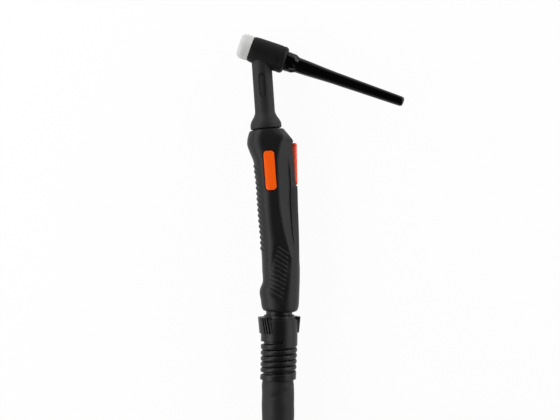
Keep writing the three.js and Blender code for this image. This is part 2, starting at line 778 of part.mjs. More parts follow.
const bench = new THREE.Group();
const COIL_LOW = COIL_LIFT + SLEEVE_RADIUS;
const CLIMB = Math.PI;
const LOWER_END = 2 * Math.PI * COIL_LOWER_TURNS;
const COIL_END = LOWER_END + CLIMB + 2 * Math.PI * COIL_UPPER_TURNS;
const RATE = COIL_SPACING / (2 * Math.PI);
const STRAIGHT = 2 * SLEEVE_RADIUS;

// The coil's centre line after turning through an angle: radius, height and place.
function coilPoint(turn) {
  const inner = COIL_RADIUS - RATE * LOWER_END;
  let radius = COIL_RADIUS - RATE * turn;
  let height = COIL_LOW;
  if (turn > LOWER_END) {
    const climb = Math.min(turn - LOWER_END, CLIMB);
    radius = inner - RATE * climb + (RATE * climb * climb) / CLIMB;
    height += (COIL_SPACING * (1 - Math.cos(climb))) / 2;
  }
  if (turn > LOWER_END + CLIMB) radius = inner + RATE * (turn - LOWER_END - CLIMB);
  const angle = Math.PI + turn;
  return {
    radius,
    angle,
    outward: new THREE.Vector3(Math.cos(angle), Math.sin(angle), 0),
    onward: new THREE.Vector3(-Math.sin(angle), Math.cos(angle), 0),
    place: new THREE.Vector3(
      COIL_CENTRE[0] + radius * Math.cos(angle),
      COIL_CENTRE[1] + radius * Math.sin(angle),
      height,
    ),
  };
}

function coilStations() {
  const steps = Math.round((COIL_END / (2 * Math.PI)) * LOOP_STEPS);
  const stations = Array.from({ length: steps + 1 }, (_, k) => coilPoint((COIL_END * k) / steps));
  const start = { ...stations[0], place: stations[0].place.clone() };
  start.place.addScaledVector(start.onward, -STRAIGHT);
  const end = { ...stations[steps], place: stations[steps].place.clone() };
  end.place.addScaledVector(end.onward, STRAIGHT);
  return [start, ...stations, end];
}

function cableCoil() {
  const up = new THREE.Vector3(0, 0, 1);
  const rings = coilStations().map(({ place, outward }) =>
    Array.from({ length: LOOP_SIDES }, (_, k) => {
      const angle = (2 * Math.PI * (k + 0.5)) / LOOP_SIDES;
      return place
        .clone()
        .addScaledVector(outward, SLEEVE_RADIUS * Math.cos(angle))
        .addScaledVector(up, SLEEVE_RADIUS * Math.sin(angle));
    }),
  );
  return skin(rings);
}

// The least distance between the coil's turns, surface to surface, and the sleeve's length.
function measureCable(runLength) {
  const fine = Array.from({ length: 1201 }, (_, k) => coilPoint((COIL_END * k) / 1200).place);
  let length = runLength + 2 * STRAIGHT;
  let least = Infinity;
  fine.forEach((point, i) => {
    if (i > 0) length += point.distanceTo(fine[i - 1]);
    for (let j = i + 200; j < fine.length; j += 1) {
      least = Math.min(least, point.distanceTo(fine[j]));
    }
  });
  console.log(`cable coil: least gap ${(least - 2 * SLEEVE_RADIUS).toFixed(2)} mm`);
  console.log(`cable sleeve: length ${(length / 1000).toFixed(3)} m`);
}

const RUN_ROUTE = [
  [5.95, SUPPORT_END - GAP, HALF_DEPTH], [6, -201.3, HALF_DEPTH], [SLEEVE_X, -225, 18.4],
  [SLEEVE_X, -250, 17.2], [SLEEVE_X, -280, 16.6], [SLEEVE_X, -310, 16.9],
  [SLEEVE_X, -338, 17.8], [SLEEVE_X, COIL_CENTRE[1] + 2 * STRAIGHT, COIL_LOW],
  [SLEEVE_X, COIL_CENTRE[1] + STRAIGHT + GAP, COIL_LOW],
];

// A strap round every turn of the coil at one place.
function coilTie(degrees) {
  const radii = [];
  for (let turn = 0; turn <= COIL_END; turn += 0.01) {
    const { angle, radius } = coilPoint(turn);
    const away = THREE.MathUtils.radToDeg(angle) - degrees;
    if (Math.abs(((away + 180) % 360) - 180) < 4) radii.push(radius);
  }
  const inner = Math.min(...radii) - SLEEVE_RADIUS - 0.5;
  const outer = Math.max(...radii) + SLEEVE_RADIUS + 0.5;
  const top = COIL_LOW + COIL_SPACING + SLEEVE_RADIUS + 0.5;
  const thick = COIL_LIFT - GAP;
  const middle = [(inner + outer) / 2, (thick + top) / 2];
  const hole = roundedOutline([outer - inner, top - thick], 9, 3);
  const edge = roundedOutline([outer - inner + 2 * thick, top + thick], 11, 3);
  const shape = new THREE.Shape(edge.map(([x, y]) => new THREE.Vector2(x, y)));
  shape.holes.push(new THREE.Path(hole.map(([x, y]) => new THREE.Vector2(x, y))));
  return new THREE.ExtrudeGeometry(shape, { depth: TIE_WIDTH, bevelEnabled: false })
    .translate(middle[0], middle[1], -TIE_WIDTH / 2)
    .rotateX(Math.PI / 2)
    .rotateZ(THREE.MathUtils.degToRad(degrees))
    .translate(COIL_CENTRE[0], COIL_CENTRE[1], 0);
}

function endBoot() {
  const body = turned([
    [GAP, 6], [GAP, 15.6], [1.2, 16.2], [22, 16.2], [40, 13.4], [45, 13], [45, 6], [GAP, 6],
  ], 18);
  const port = cylinder(5, 0, 20, 12).rotateY(THREE.MathUtils.degToRad(-35)).translate(24, 0, 6);
  return cut(joined(body, port), cylinder(6, GAP + 0.2, 44.8, 16));
}

function connectorShell() {
  const profile = [[45.3, 0], [45.3, 13.4], [47, 14.6]];
  for (const s of [50, 58, 66]) profile.push([s, 15.6], [s + 4, 15.6], [s + 5, 14.8]);
  profile.push([92, 15.4], [96, 15.9], [99, 15.9], [99, 0]);
  return turned(profile, 18);
}

function connectorPin() {
  return turned([
    [99.3, 3], [99.3, 10], [102, 10], [102, 6.5], [112, 6.5], [112, 5.9], [114, 5.9],
    [114, 6.5], [126, 6.5], [127.5, 5.4], [127.5, 3], [99.3, 3],
  ], 18);
}

const LEAD_ROUTE = [
  [322.6, -529.5, 69.2], [329.2, -527.3, 73.2], [337.5, -523.5, 75.3], [345.5, -516.5, 75.3],
  [353, -505, 73], [358, -491, 67], [361.5, -475, 58.5], [364.5, -458, 49.5],
  [367, -441, 42.3], [368.8, -424, 38.8], [370, -406, 38], [369.5, -383, 38],
  [364.4, -354.5, 38.6], [355.3, -330, 40.8], [345.4, -312, 43.4],
];
const LEAD_RADIUS = 3;

function controlPlug(group) {
  add(group, "control_plug", turned([
    [1, 0], [1, 4], [10, 5], [14, 8], [40, 8], [40, 0],
  ]), "softBlack");
  add(group, "control_plug_ring", turned([
    [40.3, 6.2], [40.3, 8.6], [52, 8.6], [52, 7.4], [42.3, 7.4], [42.3, 6.2], [40.3, 6.2],
  ], 20), "steel");
}

function buildCable() {
  const run = tube(RUN_ROUTE, SLEEVE_RADIUS, 12, 12);
  add(bench, "cable_run", run, "sleeve");
  add(bench, "cable_coil", cableCoil(), "sleeve");
  const curve = new THREE.CatmullRomCurve3(RUN_ROUTE.map((p) => new THREE.Vector3(...p)));
  measureCable(curve.getLength());
  TIE_ANGLES.forEach((degrees, k) => add(bench, `coil_tie_${k + 1}`, coilTie(degrees), "rubber"));
  const end = coilStations().at(-1);
  const tail = new THREE.Group();
  tail.position.copy(end.place);
  tail.rotation.z = end.angle + Math.PI / 2;
  bench.add(tail);
  add(tail, "end_boot", endBoot(), "rubber");
  add(tail, "connector_shell", connectorShell(), "softBlack");
  add(tail, "connector_pin", connectorPin(), "brass");
  add(bench, "control_lead", tube(LEAD_ROUTE, LEAD_RADIUS, 24, 8), "rubber");
  const plug = new THREE.Group();
  const [before, last] = LEAD_ROUTE.slice(-2).map((p) => new THREE.Vector3(...p));
  const forward = last.clone().sub(before).setZ(0).normalize();
  plug.position.copy(last);
  plug.quaternion.setFromUnitVectors(new THREE.Vector3(1, 0, 0), forward);
  bench.add(plug);
  controlPlug(plug);
}

// ---------------------------------------------------------------- assembly

buildHead();
buildNeck();
buildHandle();
buildTrigger();
buildCableJoint();
buildCable();
torch.position.z = HALF_DEPTH;

const model = new THREE.Group();
model.add(torch, bench);

export default model;
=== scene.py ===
# The looks of a TIG welding torch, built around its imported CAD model.
#
# Shapes are worked out in millimetres in the part's own frame, with the torch's parting plane
# HALF_DEPTH above the bench, and become metres when a piece is made.

import json
import math
from collections import namedtuple

import bmesh
import bpy
import numpy as np
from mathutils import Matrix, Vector, noise

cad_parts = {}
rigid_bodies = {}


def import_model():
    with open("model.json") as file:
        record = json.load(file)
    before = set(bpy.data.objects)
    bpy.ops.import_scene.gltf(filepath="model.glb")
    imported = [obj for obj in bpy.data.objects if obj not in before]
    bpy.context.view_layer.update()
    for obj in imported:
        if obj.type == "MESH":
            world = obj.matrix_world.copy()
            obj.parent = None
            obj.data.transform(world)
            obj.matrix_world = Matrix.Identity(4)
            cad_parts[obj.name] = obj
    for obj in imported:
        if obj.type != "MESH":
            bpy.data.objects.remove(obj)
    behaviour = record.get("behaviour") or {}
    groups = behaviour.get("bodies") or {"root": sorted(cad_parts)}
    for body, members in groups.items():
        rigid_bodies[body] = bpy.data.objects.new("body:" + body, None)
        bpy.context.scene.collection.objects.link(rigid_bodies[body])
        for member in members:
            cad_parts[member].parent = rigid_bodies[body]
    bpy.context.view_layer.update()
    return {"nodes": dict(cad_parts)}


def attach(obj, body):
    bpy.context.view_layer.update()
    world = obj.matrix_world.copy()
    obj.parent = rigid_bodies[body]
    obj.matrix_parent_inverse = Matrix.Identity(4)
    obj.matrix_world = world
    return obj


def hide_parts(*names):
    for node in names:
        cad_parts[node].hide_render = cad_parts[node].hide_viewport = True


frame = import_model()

MM = 0.001
HALF_DEPTH = 19.0
TAU = 2 * math.pi

# ---------------------------------------------------------------- camera

CAMERA_OVER = (8.0, 0.0)
CAMERA_DISTANCE = 1150.0
PHOTO_WIDTH = 560.0  # pixels, at one millimetre each in the parting plane
SENSOR_WIDTH = 36.0

camera_data = bpy.data.cameras.new("camera")
camera_data.sensor_width = SENSOR_WIDTH
camera_data.lens = SENSOR_WIDTH * CAMERA_DISTANCE / PHOTO_WIDTH
camera_data.clip_end = 50
camera = bpy.data.objects.new("camera", camera_data)
camera.location = (
    CAMERA_OVER[0] * MM, CAMERA_OVER[1] * MM, (HALF_DEPTH + CAMERA_DISTANCE) * MM,
)
bpy.context.scene.collection.objects.link(camera)
bpy.context.scene.camera = camera

# ---------------------------------------------------------------- materials


class Nodes:
    """The node tree of a material or world, with short calls that add a node and link it."""

    def __init__(self, owner, shader="Principled BSDF"):
        owner.use_nodes = True
        self.owner = owner
        self.tree = owner.node_tree
        self.shader = self.tree.nodes[shader]

    def add(self, kind, inputs=None, **settings):
        node = self.tree.nodes.new(kind)
        for key, value in settings.items():
            setattr(node, key, value)
        for key, value in (inputs or {}).items():
            self.put(node.inputs[key], value)
        return node

    def put(self, socket, value):
        if isinstance(value, bpy.types.NodeSocket):
            self.tree.links.new(value, socket)
        else:
            socket.default_value = value

    def shade(self, name, value):
        """Gives one of the shader's own inputs a plain value or another node's output."""
        self.put(self.shader.inputs[name], value)

    def noise(self, coords, size, detail=2.0, rough=0.5):
        """Noise whose features are about size millimetres across."""
        inputs = {"Vector": coords, "Scale": 1 / (size * MM), "Detail": detail,
                  "Roughness": rough}
        return self.add("ShaderNodeTexNoise", inputs).outputs["Fac"]

    def calc(self, operation, *values):
        return self.add("ShaderNodeMath", dict(enumerate(values)), operation=operation).outputs[0]

    def ramp(self, value, low, high):
        """value, 0 to 1, spread between two plain numbers."""
        inputs = {"Value": value, "To Min": low, "To Max": high}
        return self.add("ShaderNodeMapRange", inputs).outputs["Result"]

    def bump(self, height, depth, normal=None):
        """height, 0 to 1, as a relief of depth millimetres."""
        inputs = {"Height": height, "Strength": 1.0, "Distance": depth * MM}
        if normal is not None:
            inputs["Normal"] = normal
        return self.add("ShaderNodeBump", inputs).outputs["Normal"]

    def shades(self, value, dark, light):
        """A colour between two, by value."""
        inputs = {"Factor": value, "A": (*dark, 1), "B": (*light, 1)}
        node = self.add("ShaderNodeMix", data_type="RGBA")
        for key, entry in inputs.items():
            match = [s for s in node.inputs if s.name == key and s.enabled]
            self.put(match[0], entry)
        return [s for s in node.outputs if s.enabled][0]

    def coords(self, kind="Object"):
        return self.add("ShaderNodeTexCoord").outputs[kind]


def moulded(name, dark, light, roughness, grain, relief, patch=9.0, specular=0.5, metal=0.0,
            sheen=0.0, marks=0.0):
    """A moulded or machined surface: patchy colour, uneven gloss, fine grain and faint marks."""
    made = Nodes(bpy.data.materials.new(name))
    at = made.coords()
    made.shade("Base Color", made.shades(made.noise(at, patch, 3.0), dark, light))
    made.shade("Roughness", made.ramp(made.noise(at, patch * 0.35, 4.0), *roughness))
    normal = made.bump(made.noise(at, grain, 2.0, 0.6), relief)
    if marks:
        stretched = made.add("ShaderNodeMapping", {"Vector": at, "Scale": (1, 0.08, 1)})
        scuffs = made.noise(stretched.outputs["Vector"], 1.1, 5.0, 0.7)
        normal = made.bump(scuffs, marks, normal)
    made.shade("Normal", normal)
    made.shade("Specular IOR Level", specular)
    made.shade("Metallic", metal)
    if sheen:
        made.shade("Sheen Weight", sheen)
        made.shade("Sheen Roughness", 0.4)
    return made.owner


def woven(name, dark, light, pitch, relief):
    """Webbing: over and under threads, from the piece's own lengthways and crossways places."""
    made = Nodes(bpy.data.materials.new(name))
    parts = made.add("ShaderNodeSeparateXYZ", {"Vector": made.coords("UV")})
    threads = [made.calc("SINE", made.calc("MULTIPLY", parts.outputs[axis], TAU / (pitch * MM)))
               for axis in ("X", "Y")]
    crossed = made.calc("MULTIPLY", *threads)
    weave = made.add("ShaderNodeMapRange", {"Value": crossed, "From Min": -1.0})
    height = weave.outputs["Result"]
    fuzz = made.noise(made.coords(), 0.25, 3.0, 0.7)
    made.shade("Base Color", made.shades(height, dark, light))
    made.shade("Roughness", made.ramp(fuzz, 0.8, 0.97))
    made.shade("Normal", made.bump(fuzz, 0.05, made.bump(height, relief)))
    made.shade("Sheen Weight", 0.25)
    made.shade("Sheen Roughness", 0.5)
    return made.owner


# Each moulded look: dark and light colours, roughness from and to, grain size and its relief,
# then what differs from the usual.
MOULDED = {
    "handle_plastic": ((0.0042, 0.0042, 0.0045), (0.0068, 0.0068, 0.0071), (0.42, 0.52), 0.45,
        0.014, {"specular": 0.25}),
    "neck_rubber": ((0.0078, 0.0078, 0.0081), (0.0108, 0.0108, 0.0111), (0.54, 0.66), 0.5, 0.018,
        {"specular": 0.32}),
    "head_rubber": ((0.0042, 0.0042, 0.0045), (0.0062, 0.0062, 0.0065), (0.5, 0.62), 0.4, 0.012,
        {"specular": 0.15}),
    "insulator": ((0.56, 0.556, 0.542), (0.63, 0.626, 0.613), (0.5, 0.6), 0.8, 0.006,
        {"patch": 14, "specular": 0.3}),
    "cap_gloss": ((0.0004, 0.0004, 0.0006), (0.001, 0.001, 0.0012), (0.14, 0.22), 1.6, 0.003,
        {"patch": 12, "marks": 0.003, "specular": 0.24}),
    "label_orange": ((0.97, 0.1, 0.0), (1.0, 0.12, 0.001), (0.42, 0.54), 0.7, 0.005,
        {"patch": 5, "specular": 0.2}),
    "trigger_orange": ((0.86, 0.06, 0.013), (0.93, 0.075, 0.017), (0.4, 0.52), 0.35, 0.012,
        {"patch": 4, "specular": 0.3}),
    "brass": ((0.52, 0.35, 0.13), (0.62, 0.44, 0.19), (0.22, 0.38), 0.6, 0.004,
        {"patch": 4, "metal": 1.0, "marks": 0.006}),
    "copper": ((0.53, 0.24, 0.12), (0.62, 0.31, 0.17), (0.25, 0.42), 0.6, 0.004,
        {"patch": 5, "metal": 1.0, "marks": 0.005}),
    "steel": ((0.50, 0.51, 0.52), (0.60, 0.61, 0.62), (0.24, 0.38), 0.4, 0.003,
        {"patch": 3, "metal": 1.0, "marks": 0.005}),
    "nylon": ((0.66, 0.65, 0.6), (0.72, 0.71, 0.66), (0.4, 0.52), 0.5, 0.006, {}),
    "seal": ((0.007, 0.007, 0.007), (0.01, 0.01, 0.01), (0.5, 0.62), 0.4, 0.01,
        {"specular": 0.3}),
    "switch_black": ((0.008, 0.008, 0.008), (0.011, 0.011, 0.012), (0.4, 0.52), 0.4, 0.01,
        {"specular": 0.35}),
    "support_black": ((0.0042, 0.0042, 0.0045), (0.0064, 0.0064, 0.0067), (0.34, 0.44), 0.5, 0.01,
        {"specular": 0.24}),
    "connector_black": ((0.007, 0.007, 0.0074), (0.0105, 0.0105, 0.011), (0.5, 0.62), 0.45, 0.018,
        {"specular": 0.3}),
    "cable_rubber": ((0.008, 0.008, 0.0084), (0.0115, 0.0115, 0.012), (0.5, 0.64), 0.4, 0.016,
        {"specular": 0.3}),
    "sleeve": ((0.0068, 0.0068, 0.0071), (0.0105, 0.0105, 0.0108), (0.52, 0.66), 0.55, 0.026,
        {"patch": 22, "specular": 0.3, "sheen": 0.03}),
}
looks = {name: moulded(name, *values, **more) for name, (*values, more) in MOULDED.items()}
looks["tie"] = woven("tie", (0.007, 0.007, 0.0075), (0.02, 0.02, 0.021), 1.1, 0.16)

# ---------------------------------------------------------------- mesh helpers


def metres(points, lift=HALF_DEPTH):
    """Millimetres in the torch's frame, whose z is 0 in its parting plane, as metres."""
    points = np.asarray(points, float).reshape(-1, 3) + (0, 0, lift)
    return points * MM


def turn_about_z(points, origin, angle):
    """Local points, turned about Z and moved."""
    points = np.asarray(points, float)
    c, s = math.cos(angle), math.sin(angle)
    x = origin[0] + c * points[..., 0] - s * points[..., 1]
    y = origin[1] + s * points[..., 0] + c * points[..., 1]
    return np.stack([x, y, points[..., 2]], -1)


def loft(rings, looped=False):
    """Points and faces of a skin over closed rings; looped joins the last ring to the first."""
    rings = np.asarray(rings, float)
    count, around = rings.shape[:2]
    rows = np.arange(count if looped else count - 1)
    a = rows[:, None] * around + np.arange(around)
    b = rows[:, None] * around + (np.arange(around) + 1) % around
    step = (rows[:, None] + 1) % count
    c = step * around + (np.arange(around) + 1) % around
    d = step * around + np.arange(around)
    faces = np.stack([a, b, c, d], -1).reshape(-1, 4).tolist()
    if not looped:
        faces.append(list(range(around))[::-1])
        faces.append([(count - 1) * around + k for k in range(around)])
    return rings.reshape(-1, 3), faces


def mesh_of(name, points, faces):
    """A clean mesh in metres: doubles merged, faces turned outwards."""
    mesh = bpy.data.meshes.new(name)
    mesh.from_pydata([tuple(p) for p in points], [], faces)
    made = bmesh.new()
    made.from_mesh(mesh)
    bmesh.ops.remove_doubles(made, verts=made.verts, dist=2e-7)
    bmesh.ops.dissolve_degenerate(made, edges=made.edges, dist=1e-7)
    caps = [face for face in made.faces if len(face.verts) > 4]
    bmesh.ops.triangulate(made, faces=caps, ngon_method="EAR_CLIP")
    bmesh.ops.recalc_face_normals(made, faces=made.faces)
    made.to_mesh(mesh)
    made.free()
    return mesh


def skinned(name, rings, lift=HALF_DEPTH, looped=False):
    """The mesh of a skin over closed rings in millimetres."""
    points, faces = loft(rings, looped)
    return mesh_of(name, metres(points, lift), faces)


def smooth_off(mesh, sharp):
    """Smooth shading, with edges sharper than this many degrees kept crisp."""
    mesh.polygons.foreach_set("use_smooth", [True] * len(mesh.polygons))
    mesh.set_sharp_from_angle(angle=math.radians(sharp))


def add_object(name, mesh):
    made = bpy.data.objects.new(name, mesh)
    bpy.context.scene.collection.objects.link(made)
    return made


def piece(name, mesh, body, look, stands_for=None, sharp=32.0):
    """Makes a shown piece that rides a body and stands for CAD nodes.

    It stands for the node with its own name unless stands_for says otherwise.
    """
    smooth_off(mesh, sharp)
    mesh.materials.clear()
    mesh.materials.append(looks[look])
    made = add_object(f"{name}_shape", mesh)
    flat = made.modifiers.new("even_shading", "WEIGHTED_NORMAL")
    flat.keep_sharp = True
    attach(made, body)
    if stands_for is None:
        stands_for = [name]
    if stands_for:
        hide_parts(*stands_for)
    return made


def carve(mesh, cutters):
    """mesh with each closed cutter mesh taken out of it."""
    body = add_object("carved", mesh)
    tools = bpy.data.collections.new("cutters")
    for number, cutter in enumerate(cutters):
        tools.objects.link(bpy.data.objects.new(f"cutter_{number}", cutter))
    cut = body.modifiers.new("cut", "BOOLEAN")
    cut.operation = "DIFFERENCE"
    cut.solver = "EXACT"
    cut.operand_type = "COLLECTION"
    cut.collection = tools
    bpy.context.scene.collection.children.link(tools)
    bpy.context.view_layer.update()
    graph = bpy.context.evaluated_depsgraph_get()
    result = bpy.data.meshes.new_from_object(body.evaluated_get(graph))
    for tool in list(tools.objects):
        bpy.data.objects.remove(tool)
    bpy.data.collections.remove(tools)
    bpy.data.objects.remove(body)
    return result


def rounded(profile, steps=6):
    """A line of (s, r) or (s, r, reach) points; a reach rounds the corner that far each way."""
    line = []
    last = len(profile) - 1
    for index, point in enumerate(profile):
        here = np.array(point[:2], float)
        reach = point[2] if len(point) > 2 else 0
        if not reach or index in (0, last):
            line.append(here)
            continue
        before = np.array(profile[index - 1][:2], float)
        after = np.array(profile[index + 1][:2], float)
        start = here + (before - here) * min(0.5, reach / np.linalg.norm(before - here))
        end = here + (after - here) * min(0.5, reach / np.linalg.norm(after - here))
        for k in range(steps + 1):
            t = k / steps
            line.append((1 - t) ** 2 * start + 2 * t * (1 - t) * here + t * t * end)
    return np.array(line)


def smooth_step(t, width, start, start_grade, end, end_grade):
    """A cubic between two values with given grades, at a share t of the width between them."""
    return (
        (1 + 2 * t) * (1 - t) ** 2 * start
        + t * (1 - t) ** 2 * width * start_grade
        + t * t * (3 - 2 * t) * end
        + t * t * (t - 1) * width * end_grade
    )


def steep(rows, at):
    """Smooth interpolation that keeps a table's rises and falls, for arrays of places."""
    table = np.array(rows, float)
    x, y = table[:, 0], table[:, 1]
    width = np.diff(x)
    slope = np.diff(y) / width
    grade = np.zeros_like(x)
    grade[0], grade[-1] = slope[0], slope[-1]
    for i in range(1, len(x) - 1):
        if slope[i - 1] * slope[i] > 0:
            w1 = 2 * width[i] + width[i - 1]
            w2 = width[i] + 2 * width[i - 1]
            grade[i] = (w1 + w2) / (w1 / slope[i - 1] + w2 / slope[i])
    at = np.clip(np.asarray(at, float), x[0], x[-1])
    i = np.clip(np.searchsorted(x, at, side="right") - 1, 0, len(x) - 2)
    return smooth_step((at - x[i]) / width[i], width[i], y[i], grade[i], y[i + 1], grade[i + 1])


def ease(value, low, high):
    """0 below low, 1 above high and smooth between."""
    t = np.clip((np.asarray(value, float) - low) / (high - low), 0, 1)
    return t * t * (3 - 2 * t)


def swell(value, start, full, fall, end):
    """0 outside start and end, 1 from full to fall and smooth between."""
    return ease(value, start, full) * (1 - ease(value, fall, end))


def waves(count, angle):
    """Even waves round a circle, from 0 to 1."""
    return 0.5 - 0.5 * np.cos(count * angle)


def unit(vectors):
    """Vectors in the last direction of an array, brought to length 1."""
    return vectors / np.maximum(np.linalg.norm(vectors, axis=-1), 1e-9)[..., None]


def rounded_box(size, corner, steps):
    """A rounded rectangle about the origin, anticlockwise from its right side."""
    half = np.array(size) / 2 - corner
    outline = []
    for quarter, (sx, sy) in enumerate([(1, 1), (-1, 1), (-1, -1), (1, -1)]):
        for k in range(steps + 1):
            a = (quarter + k / steps) * TAU / 4
            outline.append((sx * half[0] + corner * math.cos(a),
                            sy * half[1] + corner * math.sin(a)))
    return np.array(outline)


def axes_of(axis):
    """Unit vectors along, beside and above a direction; above has no sideways lean."""
    along = np.array(axis, float) / np.linalg.norm(axis)
    beside = np.cross((0, 0, 1), along)
    if not beside.any():
        beside = np.array((1.0, 0, 0))
    beside /= np.linalg.norm(beside)
    return along, beside, np.cross(along, beside)


def put_along(points, origin, axis):
    """Points (along, beside, above) an axis through origin, in the frame's own directions."""
    points = np.asarray(points, float)
    along, beside, above = axes_of(axis)
    return (np.array(origin, float) + points[..., :1] * along + points[..., 1:2] * beside
            + points[..., 2:3] * above)


def turned(name, profile, origin, axis, sides=96, radius_at=None, lift=HALF_DEPTH):
    """A turned mesh. A profile that ends where it starts is a ring, and others are capped."""
    looped = tuple(profile[0][:2]) == tuple(profile[-1][:2])
    line = rounded(profile)
    rings = rings_about(line[:-1] if looped else line, sides, radius_at)
    return skinned(name, put_along(rings, origin, axis), lift, looped)


def turned_piece(name, profile, line, body, look, stands_for=None, sharp=32.0, **shape):
    """A turned piece about a line, which is an origin and an axis."""
    return piece(name, turned(name, profile, *line, **shape), body, look, stands_for, sharp)


def rings_about(line, sides, radius_at=None):
    """Rings of (along, beside, above) points from an (s, r) line."""
    line = np.asarray(line, float)
    angle = np.broadcast_to(np.arange(sides) * TAU / sides, (len(line), sides))
    s = np.repeat(line[:, :1], sides, 1)
    r = np.repeat(line[:, 1:2], sides, 1)
    if radius_at:
        r = radius_at(s, angle, r)
    return np.stack([s, r * np.cos(angle), r * np.sin(angle)], -1)


def thread(pitch, depth, start, end):
    """A radius function that cuts a thread between two places along a turned piece."""
    def radius_at(s, angle, r):
        phase = np.mod(s / pitch - angle / TAU, 1.0)
        ridge = 1 - np.abs(2 * phase - 1)
        share = swell(s, start, start + pitch, end - pitch, end)
        return r - depth * share * (1 - ridge)
    return radius_at


def fine(profile, start, end, step):
    """profile's straight stretch between two places, split into short steps."""
    line = []
    for before, after in zip(profile, profile[1:]):
        line.append(before)
        inside = min(before[0], after[0]) >= start and max(before[0], after[0]) <= end
        count = int(abs(after[0] - before[0]) / step) if inside else 0
        for k in range(1, count):
            t = k / count
            line.append((before[0] + (after[0] - before[0]) * t,
                         before[1] + (after[1] - before[1]) * t))
    return line + [profile[-1]]


def boxed(name, x, y, z, turn=0.0, centre=(0, 0, 0)):
    """A plain block for cutting, turned about Z and moved."""
    corners = np.array([(a, b, c) for a in x for b in y for c in z], float)
    corners = turn_about_z(corners, (0, 0), turn) + centre
    faces = [(0, 1, 3, 2), (4, 6, 7, 5), (0, 4, 5, 1), (2, 3, 7, 6), (0, 2, 6, 4), (1, 5, 7, 3)]
    return mesh_of(name, metres(corners), faces)


def spline(points, step):
    """Places about step apart on a smooth curve through points."""
    points = np.array(points, float)
    gaps = np.sqrt(np.linalg.norm(np.diff(points, axis=0), axis=1))
    at = np.concatenate([[0], np.cumsum(gaps)])
    slopes = np.zeros_like(points)
    for i in range(len(points)):
        lo, hi = max(0, i - 1), min(len(points) - 1, i + 1)
        slopes[i] = (points[hi] - points[lo]) / (at[hi] - at[lo])
    out = []
    for i in range(len(points) - 1):
        width = at[i + 1] - at[i]
        count = max(2, int(np.linalg.norm(points[i + 1] - points[i]) / step))
        out.extend(smooth_step(k / count, width, points[i], slopes[i], points[i + 1],
                               slopes[i + 1]) for k in range(count))
    out.append(points[-1])
    return np.array(out)


def tube(route, radius_at, sides):
    """Rings about a route; radius_at(distance, angle) gives each ring's radii."""
    route = np.asarray(route, float)
    tangent = unit(np.gradient(route, axis=0))
    beside = unit(np.cross((0, 0, 1.0), tangent))
    above = np.cross(tangent, beside)
    gone = np.concatenate([[0], np.cumsum(np.linalg.norm(np.diff(route, axis=0), axis=1))])
    angle = np.arange(sides) * TAU / sides
    radius = np.broadcast_to(radius_at(gone[:, None], angle[None, :]), (len(route), sides))
    radius = radius[..., None]
    return (route[:, None] + radius * (np.cos(angle)[None, :, None] * beside[:, None]
                                       + np.sin(angle)[None, :, None] * above[:, None]))


# ---------------------------------------------------------------- cable

BALL = (7.2, -92.0)
BALL_LINE = ((BALL[0], 0, 0), (0, 1, 0))
SUPPORT_END = -169.0
SLEEVE_X = 6.1
SLEEVE_RADIUS = 16.0
COIL_LOW = 18.3
COIL_RADIUS = 200.0
COIL_SPACING = 33.2
COIL_CENTRE = (SLEEVE_X + COIL_RADIUS, -406.0)
LOWER_END = TAU * 2.1
CLIMB = math.pi
COIL_END = LOWER_END + CLIMB + TAU * 0.7
RATE = COIL_SPACING / TAU
COIL_MEAN = 170.0  # the turns' mean radius, for even places along the route
STRAIGHT = 32.0  # the sleeve's last stretch, past the coil
SLEEVE_STEP = 4.0
SLEEVE_SIDES = 40
RUN_ROUTE = [
    (5.95, -169.3, 19), (6, -201.3, 19), (SLEEVE_X, -225, 18.4), (SLEEVE_X, -250, 17.2),
    (SLEEVE_X, -280, 16.6), (SLEEVE_X, -310, 16.9), (SLEEVE_X, -338, 17.8),
    (SLEEVE_X, -374, COIL_LOW),
]
TIE_ANGLES = (72, 200, 270)
TIE_WIDTH = 18.0
STRAP_GAP = 0.7
STRAP_LOWEST = 1.7  # the inside of the strap, over the bench


def coil_place(turn):
    """The coil's centre after turning through an angle, its radius and its direction."""
    inner = COIL_RADIUS - RATE * LOWER_END
    radius = COIL_RADIUS - RATE * turn
    height = COIL_LOW
    if turn > LOWER_END:
        climb = min(turn - LOWER_END, CLIMB)
        radius = inner - RATE * climb + RATE * climb * climb / CLIMB
        height += COIL_SPACING * (1 - math.cos(climb)) / 2
    if turn > LOWER_END + CLIMB:
        radius = inner + RATE * (turn - LOWER_END - CLIMB)
    angle = math.pi + turn
    place = np.array([COIL_CENTRE[0] + radius * math.cos(angle),
                      COIL_CENTRE[1] + radius * math.sin(angle), height])
    return place, radius, np.array([-math.sin(angle), math.cos(angle), 0.0])


def sleeve_route():
    """The sleeve's centre line: the run from the torch, the coil and a straight end."""
    turns = np.linspace(0, COIL_END, int(COIL_END * COIL_MEAN / SLEEVE_STEP))
    coil = [coil_place(turn)[0] for turn in turns]
    last, _, onward = coil_place(COIL_END)
    tail = [last + onward * STRAIGHT * k / 8 for k in range(1, 9)]
    run = spline(RUN_ROUTE, SLEEVE_STEP)
    top = spline(RUN_ROUTE[:2], 1.0)
    near = [p for p in run if p[1] < RUN_ROUTE[1][1] - 0.5]
    return np.array([*top, *near, *coil, *tail])


def sleeve_radius(gone, angle):
    """The sleeve's radius: necked in at its top, with slack wrinkles along its length."""
    radius = SLEEVE_RADIUS + 0.1 - 0.75 * (1 - ease(gone, 0, 7))
    for number, (every, depth) in enumerate([(61.0, 0.2), (37.0, 0.18), (21.0, 0.1)]):
        lean = 0.7 * np.sin(angle * (number + 1) + number)
        radius = radius + depth * np.sin(TAU * gone / every + lean * 2.2 + number)
    crease = gone - 13.5 + 6.0 * np.cos(angle)
    facing = ease(np.sin(angle + 0.35), 0.2, 0.95)
    return radius - 0.8 * np.exp(-(crease / 2.2) ** 2) * facing


